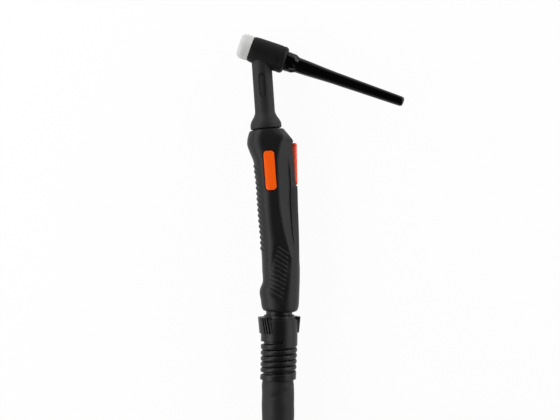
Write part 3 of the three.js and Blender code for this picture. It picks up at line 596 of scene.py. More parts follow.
def sleeve_folds(points):
    """Soft uneven folds across the sleeve."""
    moved = points.copy()
    for row in moved.reshape(-1, 3):
        soft = noise.noise(Vector(row) * 0.055)
        row[2] += 0.4 * soft
    return moved


route = sleeve_route()
sleeve_rings = sleeve_folds(tube(route, sleeve_radius, SLEEVE_SIDES))
sleeve = piece("cable_sleeve", skinned("cable_sleeve", sleeve_rings, lift=0), "root", "sleeve",
               ["cable_run", "cable_coil"], sharp=60)
tail_place, _, tail_onward = coil_place(COIL_END)
tail_place = tail_place + tail_onward * STRAIGHT
TAIL_LINE = (tail_place, tail_onward)


def hull(points):
    """The convex outline round some flat points, anticlockwise."""
    places = sorted({tuple(p) for p in np.round(points, 6).tolist()})
    sides = []
    for ordered in (places, places[::-1]):
        side = []
        for p in ordered:
            while len(side) > 1 and ((side[-1][0] - side[-2][0]) * (p[1] - side[-2][1])
                                     <= (side[-1][1] - side[-2][1]) * (p[0] - side[-2][0])):
                side.pop()
            side.append(p)
        sides.extend(side[:-1])
    return np.array(sides)


def strap(name, degrees):
    """A webbing strap pulled round every turn of the coil, with its free end lapped over."""
    passes = [coil_place(turn) for turn in np.arange(0, COIL_END, 0.02)
              if abs((math.degrees(math.pi + turn) - degrees + 180) % 360 - 180) < 2]
    ways = np.linspace(0, TAU, 60, endpoint=False)
    round_cable = (SLEEVE_RADIUS + STRAP_GAP) * np.stack([np.cos(ways), np.sin(ways)], 1)
    around = np.concatenate([round_cable + (radius, place[2]) for place, radius, _ in passes])
    around[:, 1] = np.maximum(around[:, 1], STRAP_LOWEST)
    corners = hull(around)
    middle = (corners.min(0) + corners.max(0)) / 2
    corners = corners - middle
    line = []
    for start, end in zip(corners, np.roll(corners, -1, 0)):
        count = max(1, int(np.linalg.norm(end - start) / 3))
        line.extend(start + (end - start) * k / count for k in range(count))
    line = np.array(line)
    ahead = unit(np.roll(line, -1, 0) - np.roll(line, 1, 0))
    out = np.stack([ahead[:, 1], -ahead[:, 0]], 1)
    lapped = (out[:, 0] > 0.25) & (line[:, 1] > -6)
    thick = np.where(lapped, 1.9, 1.25)
    half = TIE_WIDTH / 2
    rings = []
    for at, normal, depth in zip(line, out, thick):
        section = [(0.25, half), (depth - 0.35, half), (depth, half - 0.6), (depth, half - 1.6),
                   (depth - 0.12, half - 1.9), (depth - 0.12, 1.9 - half),
                   (depth, 1.6 - half), (depth, 0.6 - half), (depth - 0.35, -half),
                   (0.25, -half), (0, 0.5 - half), (0, half - 0.5)]
        rings.append([(*(at + normal * d), w) for d, w in section])
    rings = np.array(rings)
    local = np.stack([rings[..., 0] + middle[0], -rings[..., 2], rings[..., 1] + middle[1]], -1)
    mesh = skinned(name, turn_about_z(local, COIL_CENTRE, math.radians(degrees)), 0, looped=True)
    layer = mesh.uv_layers.new(name="weave")
    centre = Vector((COIL_CENTRE[0] * MM, COIL_CENTRE[1] * MM, 0))
    out_way = Vector((math.cos(math.radians(degrees)), math.sin(math.radians(degrees)), 0))
    across = Vector((-out_way.y, out_way.x, 0))
    for loop in mesh.loops:
        spot = mesh.vertices[loop.vertex_index].co - centre
        layer.data[loop.index].uv = (spot.dot(across), spot.dot(out_way) + spot.z)
    return piece(name, mesh, "root", "tie", sharp=50)


ties = [strap(f"coil_tie_{k + 1}", degrees) for k, degrees in enumerate(TIE_ANGLES)]

# What is on the cable's far end, along its own axis from the end of the sleeve.
BOOT_PROFILE = [
    (0.3, 6.2), (0.3, 15.4, 0.8), (1.4, 16.3, 0.6), (7.4, 16.3, 0.5), (7.9, 15.5, 0.2),
    (9.3, 15.5, 0.2), (9.8, 16.3, 0.5), (21.5, 16.2, 3), (34.4, 14.1, 1), (34.9, 13.2, 0.2),
    (36.2, 13.1, 0.2), (36.7, 13.7, 0.4), (38.5, 13.5, 0.4), (39.0, 12.8, 0.2),
    (40.3, 12.7, 0.2), (40.8, 13.4, 0.4), (44.9, 13.0, 0.9), (44.9, 6.2), (0.3, 6.2),
]
SHELL_PROFILE = [
    (45.3, 3.0), (45.3, 13.2, 0.7), (47.2, 14.8, 1.0), (50.0, 15.7, 1.0), (74.0, 15.7, 1.0),
    (76.0, 14.9, 0.8), (92.0, 15.2, 3), (95.4, 15.9, 1.2), (99.0, 15.9, 0.9), (99.0, 3.0),
    (45.3, 3.0),
]
PIN_PROFILE = [
    (99.3, 3.0), (99.3, 10.0, 0.4), (102.0, 10.0, 0.5), (102.0, 6.5, 0.3), (112.0, 6.5, 0.15),
    (112.4, 5.9, 0.15), (113.8, 5.9, 0.15), (114.2, 6.5, 0.15), (125.6, 6.5, 0.8),
    (127.5, 5.2, 0.5), (127.5, 3.0, 0.3), (99.3, 3.0),
]


def grip_lobes(s, angle, r):
    """Finger grooves round the connector between its ends, with three rings across them."""
    share = swell(s, 48.5, 52, 72, 75.5) * (r > 10)
    rings = np.clip(np.cos(TAU * (s - 56) / 8), 0, 1) ** 6
    return r - share * (0.95 * waves(12, angle) ** 0.8 + 0.35 * rings)


end_parts = [
    turned_piece("end_boot", BOOT_PROFILE, TAIL_LINE, "root", "cable_rubber", lift=0),
    turned_piece("connector_shell", fine(SHELL_PROFILE, 50, 74, 0.5), TAIL_LINE, "root",
                 "connector_black", sharp=40, sides=144, radius_at=grip_lobes, lift=0),
    turned_piece("connector_pin", PIN_PROFILE, TAIL_LINE, "root", "brass", lift=0),
]

LEAD_ROUTE = [
    (322.6, -529.5, 69.2), (329.2, -527.3, 73.2), (337.5, -523.5, 75.3), (345.5, -516.5, 75.3),
    (353, -505, 73), (358, -491, 67), (361.5, -475, 58.5), (364.5, -458, 49.5),
    (367, -441, 42.3), (368.8, -424, 38.8), (370, -406, 38), (369.5, -383, 38),
    (364.4, -354.5, 38.6), (355.3, -330, 40.8), (345.4, -312, 43.4),
]
LEAD_RADIUS = 3.0
lead_line = spline(LEAD_ROUTE, 2.0)
lead_rings = tube(lead_line, lambda gone, angle: LEAD_RADIUS, 24)
lead = piece("control_lead", skinned("control_lead", lead_rings, lift=0), "root", "cable_rubber",
             sharp=50)
PORT_SLOPE = math.radians(35)
port_start = put_along([(24, 0, 6)], *TAIL_LINE)[0]
port_axis = put_along([(24 + math.cos(PORT_SLOPE), 0, 6 + math.sin(PORT_SLOPE))],
                      *TAIL_LINE)[0] - port_start
end_parts.append(turned_piece("lead_port", [
    (2, 0.5), (2, 6.2, 0.4), (9, 5.9, 3), (14, 5.0, 1), (14.4, 4.5, 0.2), (15.2, 4.5, 0.2),
    (15.6, 4.9, 0.3), (16.6, 4.8, 0.3), (17.0, 4.3, 0.2), (17.8, 4.3, 0.2), (18.2, 4.7, 0.3),
    (20.0, 4.4, 0.5), (20.0, 0.5),
], (port_start, port_axis), "root", "cable_rubber", stands_for=(), sides=48, lift=0))

plug_place = np.array(LEAD_ROUTE[-1], float)
plug_axis = plug_place - LEAD_ROUTE[-2]
plug_axis[2] = 0
PLUG_LINE = (plug_place, plug_axis)


def plug_flutes(s, angle, r):
    """Fine flutes round the plug's body."""
    return r - 0.5 * swell(s, 16, 18, 34, 36) * (r > 6) * waves(18, angle)


plug_parts = [
    turned_piece("control_plug", fine([
        (1, 0.5), (1, 4.0, 0.5), (3.6, 4.3, 0.2), (3.9, 3.8, 0.2), (5.0, 3.9, 0.2),
        (5.3, 4.6, 0.2), (7.0, 4.8, 0.2), (7.3, 4.3, 0.2), (8.4, 4.4, 0.2), (8.7, 5.1, 0.3),
        (10.5, 5.2, 1.0), (13.5, 8.0, 1.2), (38, 8.0, 0.8), (40.0, 7.4, 0.5), (40.0, 0.5),
    ], 13, 39, 0.6), PLUG_LINE, "root", "connector_black", sides=108, lift=0,
        radius_at=plug_flutes),
    turned_piece("control_plug_ring", fine([
        (40.3, 6.2), (40.3, 8.3, 0.3), (40.9, 8.6, 0.2), (51.4, 8.6, 0.2), (52.0, 8.3, 0.3),
        (52.0, 7.4, 0.2), (42.3, 7.4, 0.2), (42.3, 6.2), (40.3, 6.2),
    ], 40.8, 51.5, 0.5), PLUG_LINE, "root", "steel", sides=144, lift=0,
        radius_at=lambda s, angle, r: r - 0.22 * (r > 8.45) * waves(36, angle)),
    turned_piece("plug_insert", [
        (39.8, 0.4), (39.8, 6.0, 0.2), (46.5, 6.0, 0.5), (46.5, 0.4),
    ], PLUG_LINE, "root", "switch_black", stands_for=(), sides=48, lift=0),
]
PLUG_CONTACTS = 5
CONTACT_CIRCLE = 3.4
for k in range(PLUG_CONTACTS):
    turn = math.radians(90 + 360 / PLUG_CONTACTS * k)
    place = (46.2, CONTACT_CIRCLE * math.cos(turn), CONTACT_CIRCLE * math.sin(turn))
    contact = put_along([place], *PLUG_LINE)[0]
    plug_parts.append(turned_piece(f"plug_contact_{k + 1}", [
        (0, 0.1), (0, 0.55), (4.4, 0.55, 0.3), (4.9, 0.1),
    ], (contact, plug_axis), "root", "brass", stands_for=(), sides=16, lift=0))

# ---------------------------------------------------------------- head

HEAD_FRONT = (-32.55, 165.25, 0.0)
HEAD_TILT = math.radians(-19.3)
HEAD_AXIS = (math.cos(HEAD_TILT), math.sin(HEAD_TILT), 0.0)
HEAD_LINE = (HEAD_FRONT, HEAD_AXIS)
CAP_LOBES = 7
THREAD_END, GRIP_END = 46.3, 64.0
GRIP_TURN = math.radians(-18.5)  # turns the grip's lobes to where the photograph has them

turned_piece("heat_shield", [
    (12.05, 7.4, 0.1), (1.0, 7.4, 0.4), (0.0, 8.3, 0.5), (0.0, 10.1, 1.0), (1.6, 11.2, 1.2),
    (4.4, 12.7, 2.0), (12.05, 12.4, 0.4), (12.05, 7.4),
], HEAD_LINE, "torch", "insulator")


def core_thread(s, angle, r):
    """The thread in the head core's bore, which cuts outwards."""
    return np.where(r < 5.2, 2 * r - thread(1.0, 0.45, 1.7, 24)(s, angle, r), r)


turned_piece("head_core", fine([
    (28.0, 3.2), (28.0, 4.9, 0.1), (1.7, 4.9), (0.8, 5.5), (0.8, 6.1, 0.2), (1.6, 7.0, 0.2),
    (12.4, 7.0), (12.4, 8.0), (46.0, 8.0, 0.3), (46.0, 6.1), (37.0, 6.1), (37.0, 3.2),
    (28.0, 3.2),
], 1.7, 28, 0.14), HEAD_LINE, "torch", "brass", radius_at=core_thread)

jacket_end = [(45.3 + 3.9 * math.sin(a), 9.6 + 3.9 * math.cos(a))
              for a in np.radians(range(0, 80, 6))]
turned_piece("head_jacket", [
    (12.4, 8.3), (12.4, 12.5, 0.8), (15.0, 12.95, 1.4), (18.0, 13.2, 1.6), (30.0, 13.45, 4),
    (40.5, 13.55, 1.5), (43.2, 13.25, 1.2), *jacket_end, (49.0, 10.1, 0.2), (48.6, 9.9, 0.2),
    (48.6, 7.6, 0.3), (46.3, 7.6), (46.3, 8.3), (12.4, 8.3),
], HEAD_LINE, "torch", "head_rubber", sides=128)

CAP_SHAFT = [
    (49.4, 9.2), (49.6, 9.6), (50.1, 9.85), (51.0, 9.85), (54.0, 9.65), (57.0, 9.6), (57.7, 9.45),
    (59.6, 8.62), (61.5, 7.82), (62.2, 7.74), (66.0, 7.68), (70.0, 7.52), (76.0, 7.28),
    (82.0, 6.98), (90.0, 6.6), (98.0, 6.3), (104.0, 6.15), (110.0, 6.08), (118.0, 5.92),
    (126.0, 5.76), (136.0, 5.6), (148.0, 5.4), (162.0, 5.16), (170.0, 4.95), (171.4, 4.85),
    (172.4, 4.5), (173.1, 3.95), (173.5, 3.2), (173.7, 2.3),
]


def cap_radius(s, angle, r):
    """The cap's inner thread, and its grip's scoops, cut to the shaft and open at its far end."""
    r = np.where(s < THREAD_END, thread(1.0, 0.5, 38.6, 46.2)(s, angle, r), r)
    floor = 9.5 - 1.7 * ease(s, 53.0, 60.0)
    wave = ease(waves(CAP_LOBES, angle + GRIP_TURN), 0.12, 0.95)
    return r - np.clip(r - floor, 0, 2) * wave * (s < GRIP_END)


thread_at = np.arange(38.7, 46.2, 0.14)
cap_at = np.concatenate([[49.4, 49.5, 49.7, 50.0], np.arange(50.4, 56.8, 0.8),
                         np.arange(57.0, 68.2, 0.25), np.arange(69, 170, 2.5),
                         np.arange(170, 173.7, 0.25), [173.7]])
cap_line = np.concatenate([
    [(38.0, 0.4), (38.0, 5.0), (38.6, 5.6)],
    np.stack([thread_at, np.full_like(thread_at, 5.6)], 1),
    [(46.3, 5.0), (46.5, 4.8), (48.5, 4.8), (48.7, 5.3), (48.8, 5.8), (49.2, 6.0), (49.4, 6.4)],
    np.stack([cap_at, steep(CAP_SHAFT, cap_at)], 1),
    [(173.75, 1.2), (173.8, 0.2)],
])
cap_rings = rings_about(cap_line, 168, cap_radius)
piece("back_cap", skinned("back_cap", put_along(cap_rings, *HEAD_LINE)), "back_cap", "cap_gloss",
      sharp=45)

ring_profile = [(47.5 + 0.9 * math.cos(a), 6.15 + 0.9 * math.sin(a))
                for a in np.radians(range(0, 360, 20))]
turned_piece("cap_o_ring", [*ring_profile, ring_profile[0]], HEAD_LINE, "cap_carriage", "seal")

# ---------------------------------------------------------------- neck

NECK_START = (-9.75, 138.0, 0.0)
NECK_TILT = math.radians(-90 + 3.94)
NECK_AXIS = (math.cos(NECK_TILT), math.sin(NECK_TILT), 0.0)
NECK_LINE = (NECK_START, NECK_AXIS)
NECK_FLARE = [
    (-13.5, 10), (38.0, 10), (40.0, 10.05), (41.1, 10.22), (42.6, 10.75), (44.1, 11.35),
    (46.1, 12.55), (48.1, 13.8), (50.1, 14.8), (51.3, 15.25), (52.4, 15.5), (54.6, 15.6),
    (55.8, 15.45), (56.4, 15.1), (56.6, 14.6),
]
NECK_RECESS = {"along": 14.1, "across": -0.7, "half": (12.1, 3.75), "corner": 3.7, "depth": 1.35}
NECK_FOOT_LEAN = 0.028  # the flare's lower rim follows the handle's slanted top


def neck_radius(s, angle, r):
    """A shallow rounded recess on each broad side of the neck."""
    half_s, half_w = NECK_RECESS["half"]
    corner = NECK_RECESS["corner"]
    reduce = np.zeros_like(r)
    for side in (0.5, -0.5):
        away = np.angle(np.exp(1j * (angle - side * math.pi)))
        across = 10 * away * (-1 if side > 0 else 1) - NECK_RECESS["across"]
        dx = np.abs(s - NECK_RECESS["along"]) - (half_s - corner)
        dw = np.abs(across) - (half_w - corner)
        outside = np.hypot(np.maximum(dx, 0), np.maximum(dw, 0)) + np.minimum(
            np.maximum(dx, dw), 0)
        reduce += NECK_RECESS["depth"] * (1 - ease(outside, corner - 0.22, corner + 0.02))
    return r - reduce * (r > 9.5)


neck_at = np.concatenate([[-13.5, -6.0], np.arange(0.5, 28, 0.16), np.arange(28.5, 40, 1.5),
                          np.arange(40, 56.6, 0.3), [56.6]])
neck_line = np.concatenate([
    [(-13.5, 4.8)], np.stack([neck_at, steep(NECK_FLARE, neck_at)], 1),
    [(56.6, 10.4), (56.9, 9.5), (64.6, 9.5), (65.0, 9.1), (65.0, 4.8)],
])
neck_rings = rings_about(neck_line, 320, neck_radius)
lean = ease(neck_rings[..., 0], 49, 54) * (np.hypot(neck_rings[..., 1], neck_rings[..., 2]) > 10)
neck_rings[..., 0] += lean * (0.3 - NECK_FOOT_LEAN * neck_rings[..., 1])
piece("neck_sleeve", skinned("neck_sleeve", put_along(neck_rings, *NECK_LINE), looped=True),
      "torch", "neck_rubber", sharp=40)

# ---------------------------------------------------------------- handle

# The outline as (y, x) along the front and back edges, and the section's sizes along the handle,
# from the round front over the side and its crease to the rail beside the trigger.
HANDLE_FOOT = -101.5
FRONT_EDGE = [
    (HANDLE_FOOT, -6.6), (-99, -9.4), (-95, -10.6), (-90, -11.2), (-86, -12), (-82, -12.4),
    (-79, -12), (-76, -10.9), (-73, -9.7), (-70, -9.2), (-60, -9.8), (-50, -10.1),
    (-40, -10.7), (-30, -11.1), (-20, -12), (-10, -13), (0, -13.8), (10, -14.6), (20, -15.2),
    (30, -16.2), (40, -17.5), (46, -18.1), (50, -19.1), (55, -21.2), (60, -23.2), (66, -24.9),
    (69, -24.8), (75, -23.6), (79, -22.1), (84, -19),
]
BACK_EDGE = [
    (HANDLE_FOOT, 23.4), (-100, 25.4), (-98, 26.2), (-95, 26.8), (-90, 27.1), (-80, 27.5),
    (-70, 27.8), (-60, 27.9), (-50, 27.5), (-30, 27.1), (-10, 26.5), (0, 26.1), (10, 25.8),
    (23.6, 25.3), (24.4, 24.3), (46, 22.2), (67, 20.2), (68, 21.1), (70, 20.7), (72, 19.3),
    (84, 9.3),
]
FRONT_ROUND = [(HANDLE_FOOT, 18.5), (-93, 20.5), (-85, 19.5), (-75, 17), (-55, 16), (-35, 15.5),
               (-15, 14.5), (5, 14.7), (25, 15.3), (45, 15.2), (65, 16.6), (74, 15.4), (84, 13.5)]
BACK_ROUND = 17.5
FLAT_WIDTH = 1.5
DEPTH = [(HANDLE_FOOT, 15.2), (-99.5, 17.6), (-97, 18.6), (-93, 19), (64, 19), (70, 18.7),
         (75, 17.9), (79, 16.6), (84, 14.6)]
CREASE = [
    (HANDLE_FOOT, 22), (-49, 20), (-41, 17.8), (-32, 15.5), (-23, 13.5), (-15, 11.6), (-6, 9.9),
    (3, 8.6), (11, 8), (20, 7.4), (28, 7), (40, 6.4), (49, 6.4), (58, 7.6), (66, 9.4),
    (74, 12.4), (84, 14),
]
CREASE_FALL = 0.025
RAIL_CORNER = [
    (HANDLE_FOOT, 24), (-32, 21.9), (-23, 21), (-6, 19.7), (11, 18.7), (22, 19), (34, 18.4),
    (49, 17.2), (58, 16), (70, 15.5), (84, 14.6),
]
RAIL_HEIGHT = [(-60, 15.5), (-35, 13.8), (-15, 12.4), (5, 11.9), (60, 11.9), (84, 12.5)]
RAIL_SHARE = [(-58, 0), (-38, 0.9), (-15, 1), (66, 1), (78, 0.2), (84, 0)]
FOOT_WIDTH = 2.8  # the hollow beside the rail's raised back strip
HANDLE_TOP = ((-21.9, 79.0), (11.0, 82.0))
TOP_MIDDLE = 80.5
WALL = 3.0
SEAM = 0.06  # half the hairline between the two shells
SEAM_TUCK = 0.3  # how far the skin turns in at the seam
STRIP_HEIGHT = 6.4  # where the rail's back strip meets the back edge's flat
STATION_STEP = 0.4
RIDGE_STEP = 0.27

LABEL = {"centre": (-1.8, 39.0), "size": (10.8, 38.8), "corner": 3.4, "tilt": 4.1, "gap": 0.9}
TRIGGER_PIVOT = (17.5, 29.0)
TRIGGER_HALF = 5.2
TRIGGER_ROUND = 3.3
SWITCH_Y = 50.0
SCREWS = [(-16.5, 62.0), (13.4, 6.0), (18.2, -62.0)]

RIB_TOP, RIB_PITCH, RIB_COUNT = 44.0, 5.45, 16
# The slanted ridges low on the handle: the first, middle and last one's ends as (x, y).
RIDGE_STARTS = [(6.6, -36.3), (0.9, -56.5), (-4.0, -75.9)]
RIDGE_ENDS = [(16.2, -43.3), (14.2, -65.5), (10.4, -87.1)]
RIDGE_COUNT = 11
RIDGE_HALF = 0.8
RIDGE_HEIGHT = 0.62


Section = namedtuple(
    "Section", "front back depth top corner crease flat_end fall height round_start")


def section_sizes(y):
    """The section's main x and z places at y, for an array of heights along the handle."""
    front, back, depth = (steep(t, y) for t in (FRONT_EDGE, BACK_EDGE, DEPTH))
    top = front + steep(FRONT_ROUND, y)
    corner = np.minimum(steep(RAIL_CORNER, y), back - 3.4)
    crease = np.minimum(steep(CREASE, y), corner - 1.6)
    flat_end = np.minimum(top + FLAT_WIDTH, crease - 1)
    fall = CREASE_FALL * (crease - flat_end)
    height = np.minimum(steep(RAIL_HEIGHT, y), depth - fall - 1)
    round_start = back - np.minimum(BACK_ROUND, back - top - 1)
    return Section(front, back, depth, top, corner, crease, flat_end, fall, height, round_start)


def section_columns():
    """The kinds of point round half a section, each with its place from 0 to 1."""
    quarter = np.concatenate([[0, 1.1, 2.4], np.linspace(4.2, 90, 42)]) / 90
    return (
        [("front", t) for t in quarter]
        + [("flat", t) for t in np.linspace(0.25, 1, 4)]
        + [("side", t) for t in [*np.linspace(0.03, 0.97, 40), 0.988, 1.0]]
        + [("rail", t) for t in [0.03, *np.linspace(0.07, 0.95, 28), 0.985]]
        + [("strip", t) for t in [0, 0.03, *np.linspace(0.08, 1, 20)]]
        + [("edge", t) for t in [*np.linspace(0.15, 0.9, 6), 0.945, 1.0]]
    )


COLUMNS = section_columns()


def handle_section(y):
    """x and z of half a section; y has one row per station and one column per point."""
    front, back, depth, top, corner, crease, flat_end, fall, height, start = section_sizes(y)
    share = steep(RAIL_SHARE, y)
    foot = swell(y, -45, -25, 36, 56)
    x = np.zeros_like(y)
    z = np.zeros_like(y)
    for k, (kind, t) in enumerate(COLUMNS):
        c = (slice(None), k)
        if kind == "front":
            angle = t * math.pi / 2
            x[c] = top[c] - (top[c] - front[c]) * math.cos(angle)
            z[c] = depth[c] * math.sin(angle)
            continue
        if kind == "flat":
            px = top[c] + (flat_end[c] - top[c]) * t
            pz = depth[c]
        elif kind == "side":
            px = flat_end[c] + (crease[c] - flat_end[c]) * t
            pz = depth[c] - fall[c] * t * t - 0.1 * (t == 1.0)
        elif kind == "rail":
            px = crease[c] + (corner[c] - crease[c]) * t
            last = FOOT_WIDTH / (corner[c] - crease[c])
            run = np.minimum(t, 1 - last) + 0.5 * last * (1 - (1 - np.maximum(
                (t - 1 + last) / last, 0)) ** 2)
            drop = (t * (1 - foot[c]) + run / (1 - 0.5 * last) * foot[c])
            pz = depth[c] - fall[c] + (height[c] - depth[c] + fall[c]) * drop
        elif kind == "strip":
            raised = 0.3 * foot[c]
            ends = [(corner[c], height[c] + raised), (back[c] - 1.6, 9.6),
                    (back[c] - 0.1, 8.9), (back[c], STRIP_HEIGHT)]
            px, pz = (sum(w * p[axis] for w, p in zip(bezier(t), ends)) for axis in (0, 1))
        else:
            px = back[c]
            pz = STRIP_HEIGHT * (1 - t)
        reach = np.arctan2(np.maximum(px - start[c], 0) / (back[c] - start[c]), pz / depth[c])
        round_x = np.where(px > start[c], start[c] + (back[c] - start[c]) * np.sin(reach), px)
        round_z = depth[c] * np.cos(reach)
        x[c] = px * share[c] + round_x * (1 - share[c])
        z[c] = pz * share[c] + round_z * (1 - share[c])
    return x, z


def bezier(t):
    """The four weights of a cubic curve's ends and handles."""
    return (1 - t) ** 3, 3 * t * (1 - t) ** 2, 3 * t * t * (1 - t), t ** 3


def sloped_stations():
    """Heights of every point, with the top stations leaning to follow the handle's top."""
    along = np.concatenate([
        [HANDLE_FOOT, -101.35, -101.1], np.arange(-100.7, -91, STATION_STEP),
        np.arange(-91, -33, RIDGE_STEP), np.arange(-33, 78.6, STATION_STEP),
        np.arange(78.7, 80.3, 0.2), [80.35, 80.45, TOP_MIDDLE],
    ])
    y = np.repeat(along[:, None], len(COLUMNS), 1)
    (x0, y0), (x1, y1) = HANDLE_TOP
    for _ in range(4):
        x, z = handle_section(y)
        plane = y0 + (x - x0) * (y1 - y0) / (x1 - x0)
        y = along[:, None] + ease(along, 62, TOP_MIDDLE)[:, None] * (plane - TOP_MIDDLE)
    return along, x, y, z


def rib_relief(y, gone):
    """Finger ribs on the front edge, slanting down where they run onto the sides."""
    total = np.zeros_like(y)
    for k in range(RIB_COUNT):
        centre = RIB_TOP - RIB_PITCH * k - 0.3 * gone
        reach = 1 - ease(gone, 9.0 + 0.25 * k, 10.8 + 0.25 * k)
        height = (0.9 + 0.02 * k) * reach
        total = np.maximum(total, height * (1 - np.clip(np.abs(y - centre) / 1.75, 0, 1) ** 1.15))
    return total


def ridge_relief(x, y):
    """Slanted ridges in a shallow recess, with their ends on two curves down the side."""
    total = np.zeros_like(y)
    recess = np.zeros_like(y)
    for k in range(RIDGE_COUNT):
        t = k / (RIDGE_COUNT - 1)
        weights = ((1 - t) * (1 - 2 * t), 4 * t * (1 - t), t * (2 * t - 1))
        start = sum(w * np.array(p) for w, p in zip(weights, RIDGE_STARTS))
        end = sum(w * np.array(p) for w, p in zip(weights, RIDGE_ENDS))
        length = np.linalg.norm(end - start)
        onward = (end - start) / length
        along = (x - start[0]) * onward[0] + (y - start[1]) * onward[1]
        beyond = np.maximum(-along, along - length)
        across = (y - start[1]) * onward[0] - (x - start[0]) * onward[1]
        ridge = 1 - np.clip(np.abs(across) / RIDGE_HALF, 0, 1)
        total = np.maximum(total, np.minimum(1.25 * ridge, 1) * (1 - ease(beyond, -0.6, 0.6)))
        recess = np.maximum(recess, (1 - ease(np.abs(across), 1.5, 6)) * (1 - ease(beyond, 0, 5)))
    return RIDGE_HEIGHT * (total - recess)


def handle_skin():
    """The upper half's outer points, one row per station."""
    along, x, y, z = sloped_stations()
    points = np.stack([x, y, z], -1)
    across = np.gradient(points, axis=1)
    down = np.gradient(points, axis=0)
    normal = unit(np.cross(across, down))
    normal *= np.where(normal[:, :1, :1] > 0, -1.0, 1.0)
    steps = np.linalg.norm(np.diff(points, axis=1), axis=2)
    gone = np.concatenate([np.zeros((len(y), 1)), np.cumsum(steps, 1)], 1)
    relief = rib_relief(y, gone) + ridge_relief(x, y) * ease(z, 8, 11)
    past_crease = x - section_sizes(y).crease
    relief -= 0.3 * steep(RAIL_SHARE, y) * np.exp(-((past_crease + 0.8) / 0.45) ** 2) * (z > 9)
    for edge, radius, inward in ((TOP_MIDDLE, 1.1, 1), (HANDLE_FOOT, 0.5, -1)):
        short = np.clip(radius - inward * (edge - along), 0, radius)[:, None]
        relief -= radius - np.sqrt(radius ** 2 - short ** 2)
    moved = points + normal * relief[..., None]
    moved[:, 0] = moved[:, 1] + (SEAM_TUCK, 0, 0)
    moved[:, -1] = moved[:, -2] - (SEAM_TUCK, 0, 0)
    moved[:, 0, 2] = moved[:, -1, 2] = SEAM
    moved[..., 2] = np.maximum(moved[..., 2], SEAM)
    return moved


def side_height(x, y):
    """How far the handle's side lies from the parting plane, left of the rail."""
    at = section_sizes(y)
    bend = np.maximum(at.top - x, 0) / (at.top - at.front)
    fallen = np.maximum(x - at.flat_end, 0) / (at.crease - at.flat_end)
    return at.depth * np.sqrt(np.clip(1 - bend ** 2, 0, 1)) - at.fall * fallen ** 2


def label_rings(extra, shares, depths, side):
    """Rings of the label's outline, scaled by shares and laid depths below the handle's side."""
    size = np.array(LABEL["size"]) + 2 * extra
    outline = rounded_box(size, LABEL["corner"] + extra, 10)
    rings = []
    for share, depth in zip(shares, depths):
        flat = turn_about_z(np.pad(outline * share, ((0, 0), (0, 1))), LABEL["centre"],
                            math.radians(LABEL["tilt"]))
        height = side_height(flat[:, 0], flat[:, 1]) - depth
        rings.append(np.stack([flat[:, 0], flat[:, 1], side * height], 1))
    return rings


def label_pocket(side):
    """The recess that the label plate lies in, with a gap all round."""
    shares = [0.02, 0.25, 0.5, 0.75, 0.93, 1.0]
    floor = label_rings(LABEL["gap"], shares, [1.6] * 6, side)
    roof = label_rings(LABEL["gap"], shares[::-1], [-2.0] * 6, side)
    return skinned("label_pocket", floor + roof)


def label_plate(side):
    """A label plate with rounded edges."""
    edge = 1 - 0.28 / LABEL["size"][0] * 2
    shares = [0.02, 0.2, 0.4, 0.6, 0.78, 0.9, edge - 0.02, edge, 0.985, 1.0, 1.0, 0.9, 0.02]
    depths = [0.25, 0.25, 0.25, 0.25, 0.25, 0.25, 0.26, 0.29, 0.38, 0.55, 1.2, 1.25, 1.25]
    name = "label_plate_upper" if side > 0 else "label_plate_lower"
    return piece(name, skinned(name, label_rings(0, shares, depths, side)), "torch",
                 "label_orange")


def handle_hollow():
    """The space inside both shells, clear of the screws' posts."""
    rings = []
    for y in (-78, -72, -60, -45, -30, -15, 0, 12, 24, 36, 46, 57, 66, 74):
        y = np.array(float(y))
        front, back, depth, top, corner, crease, flat_end, fall, height, start = section_sizes(y)
        share = steep(RAIL_SHARE, y)
        half = [(top - (top - front - WALL) * math.cos(a), (depth - WALL) * math.sin(a))
                for a in np.radians([0, 25, 50, 70, 90])]
        for x, z in ((flat_end, depth - WALL), (crease - 1, depth - fall - WALL),
                     (corner - 2.2, height - 2), (back - 3.2, 6), (back - 3, 0)):
            swept = np.clip((x - start) / (back - start), 0, 1)
            under = depth * math.sqrt(1 - swept ** 2) - WALL
            half.append((x, z * share + min(z, under) * (1 - share)))
        loop = half + [(x, -z) for x, z in half[1:-1]][::-1]
        rings.append([(x, y, z) for x, z in loop])
    posts = [turned("post", [(-25, 3.4), (25, 3.4)], (x, y, 0), (0, 0, 1), sides=32)
             for x, y in SCREWS]
    return carve(skinned("hollow", rings), posts)


def handle_openings(side):
    """What is cut out of a shell: the hollow, the neck, the joint, the trigger and the label."""
    cutters = [
        handle_hollow(),
        turned("neck_hole", [(50, 9.8), (67, 9.8)], *NECK_LINE),
        turned("coupling_hole", [(60, 7.3), (87, 7.3)], *NECK_LINE),
        turned("socket", [(-110, 17.4), (-104, 17), (-98.5, 14.6, 0.6), (-97.3, 14.4),
                          (-97.3, 16.5), (-86.2, 16.5), (-86.2, 14.4), (-81, 14.4)],
               *BALL_LINE, sides=128),
        turned("cable_hole", [(-83, 9.5), (-76, 9.5)], *BALL_LINE),
        boxed("trigger_pocket", (13.6, 40), (24.5, 67.8), (-5.6, 5.6)),
        label_pocket(side),
    ]
    if side < 0:
        cutters += [turned("counterbore", [(9.4, 3.1), (30, 3.1)], (x, y, 0), (0, 0, -1))
                    for x, y in SCREWS]
    return cutters


skin = handle_skin()
for side, name in ((1, "handle_shell_upper"), (-1, "handle_shell_lower")):
    shell = skinned(name, skin * (1, 1, side))
    shell = carve(shell, handle_openings(side))
    piece(name, shell, "torch", "handle_plastic", sharp=35)
    label_plate(side)

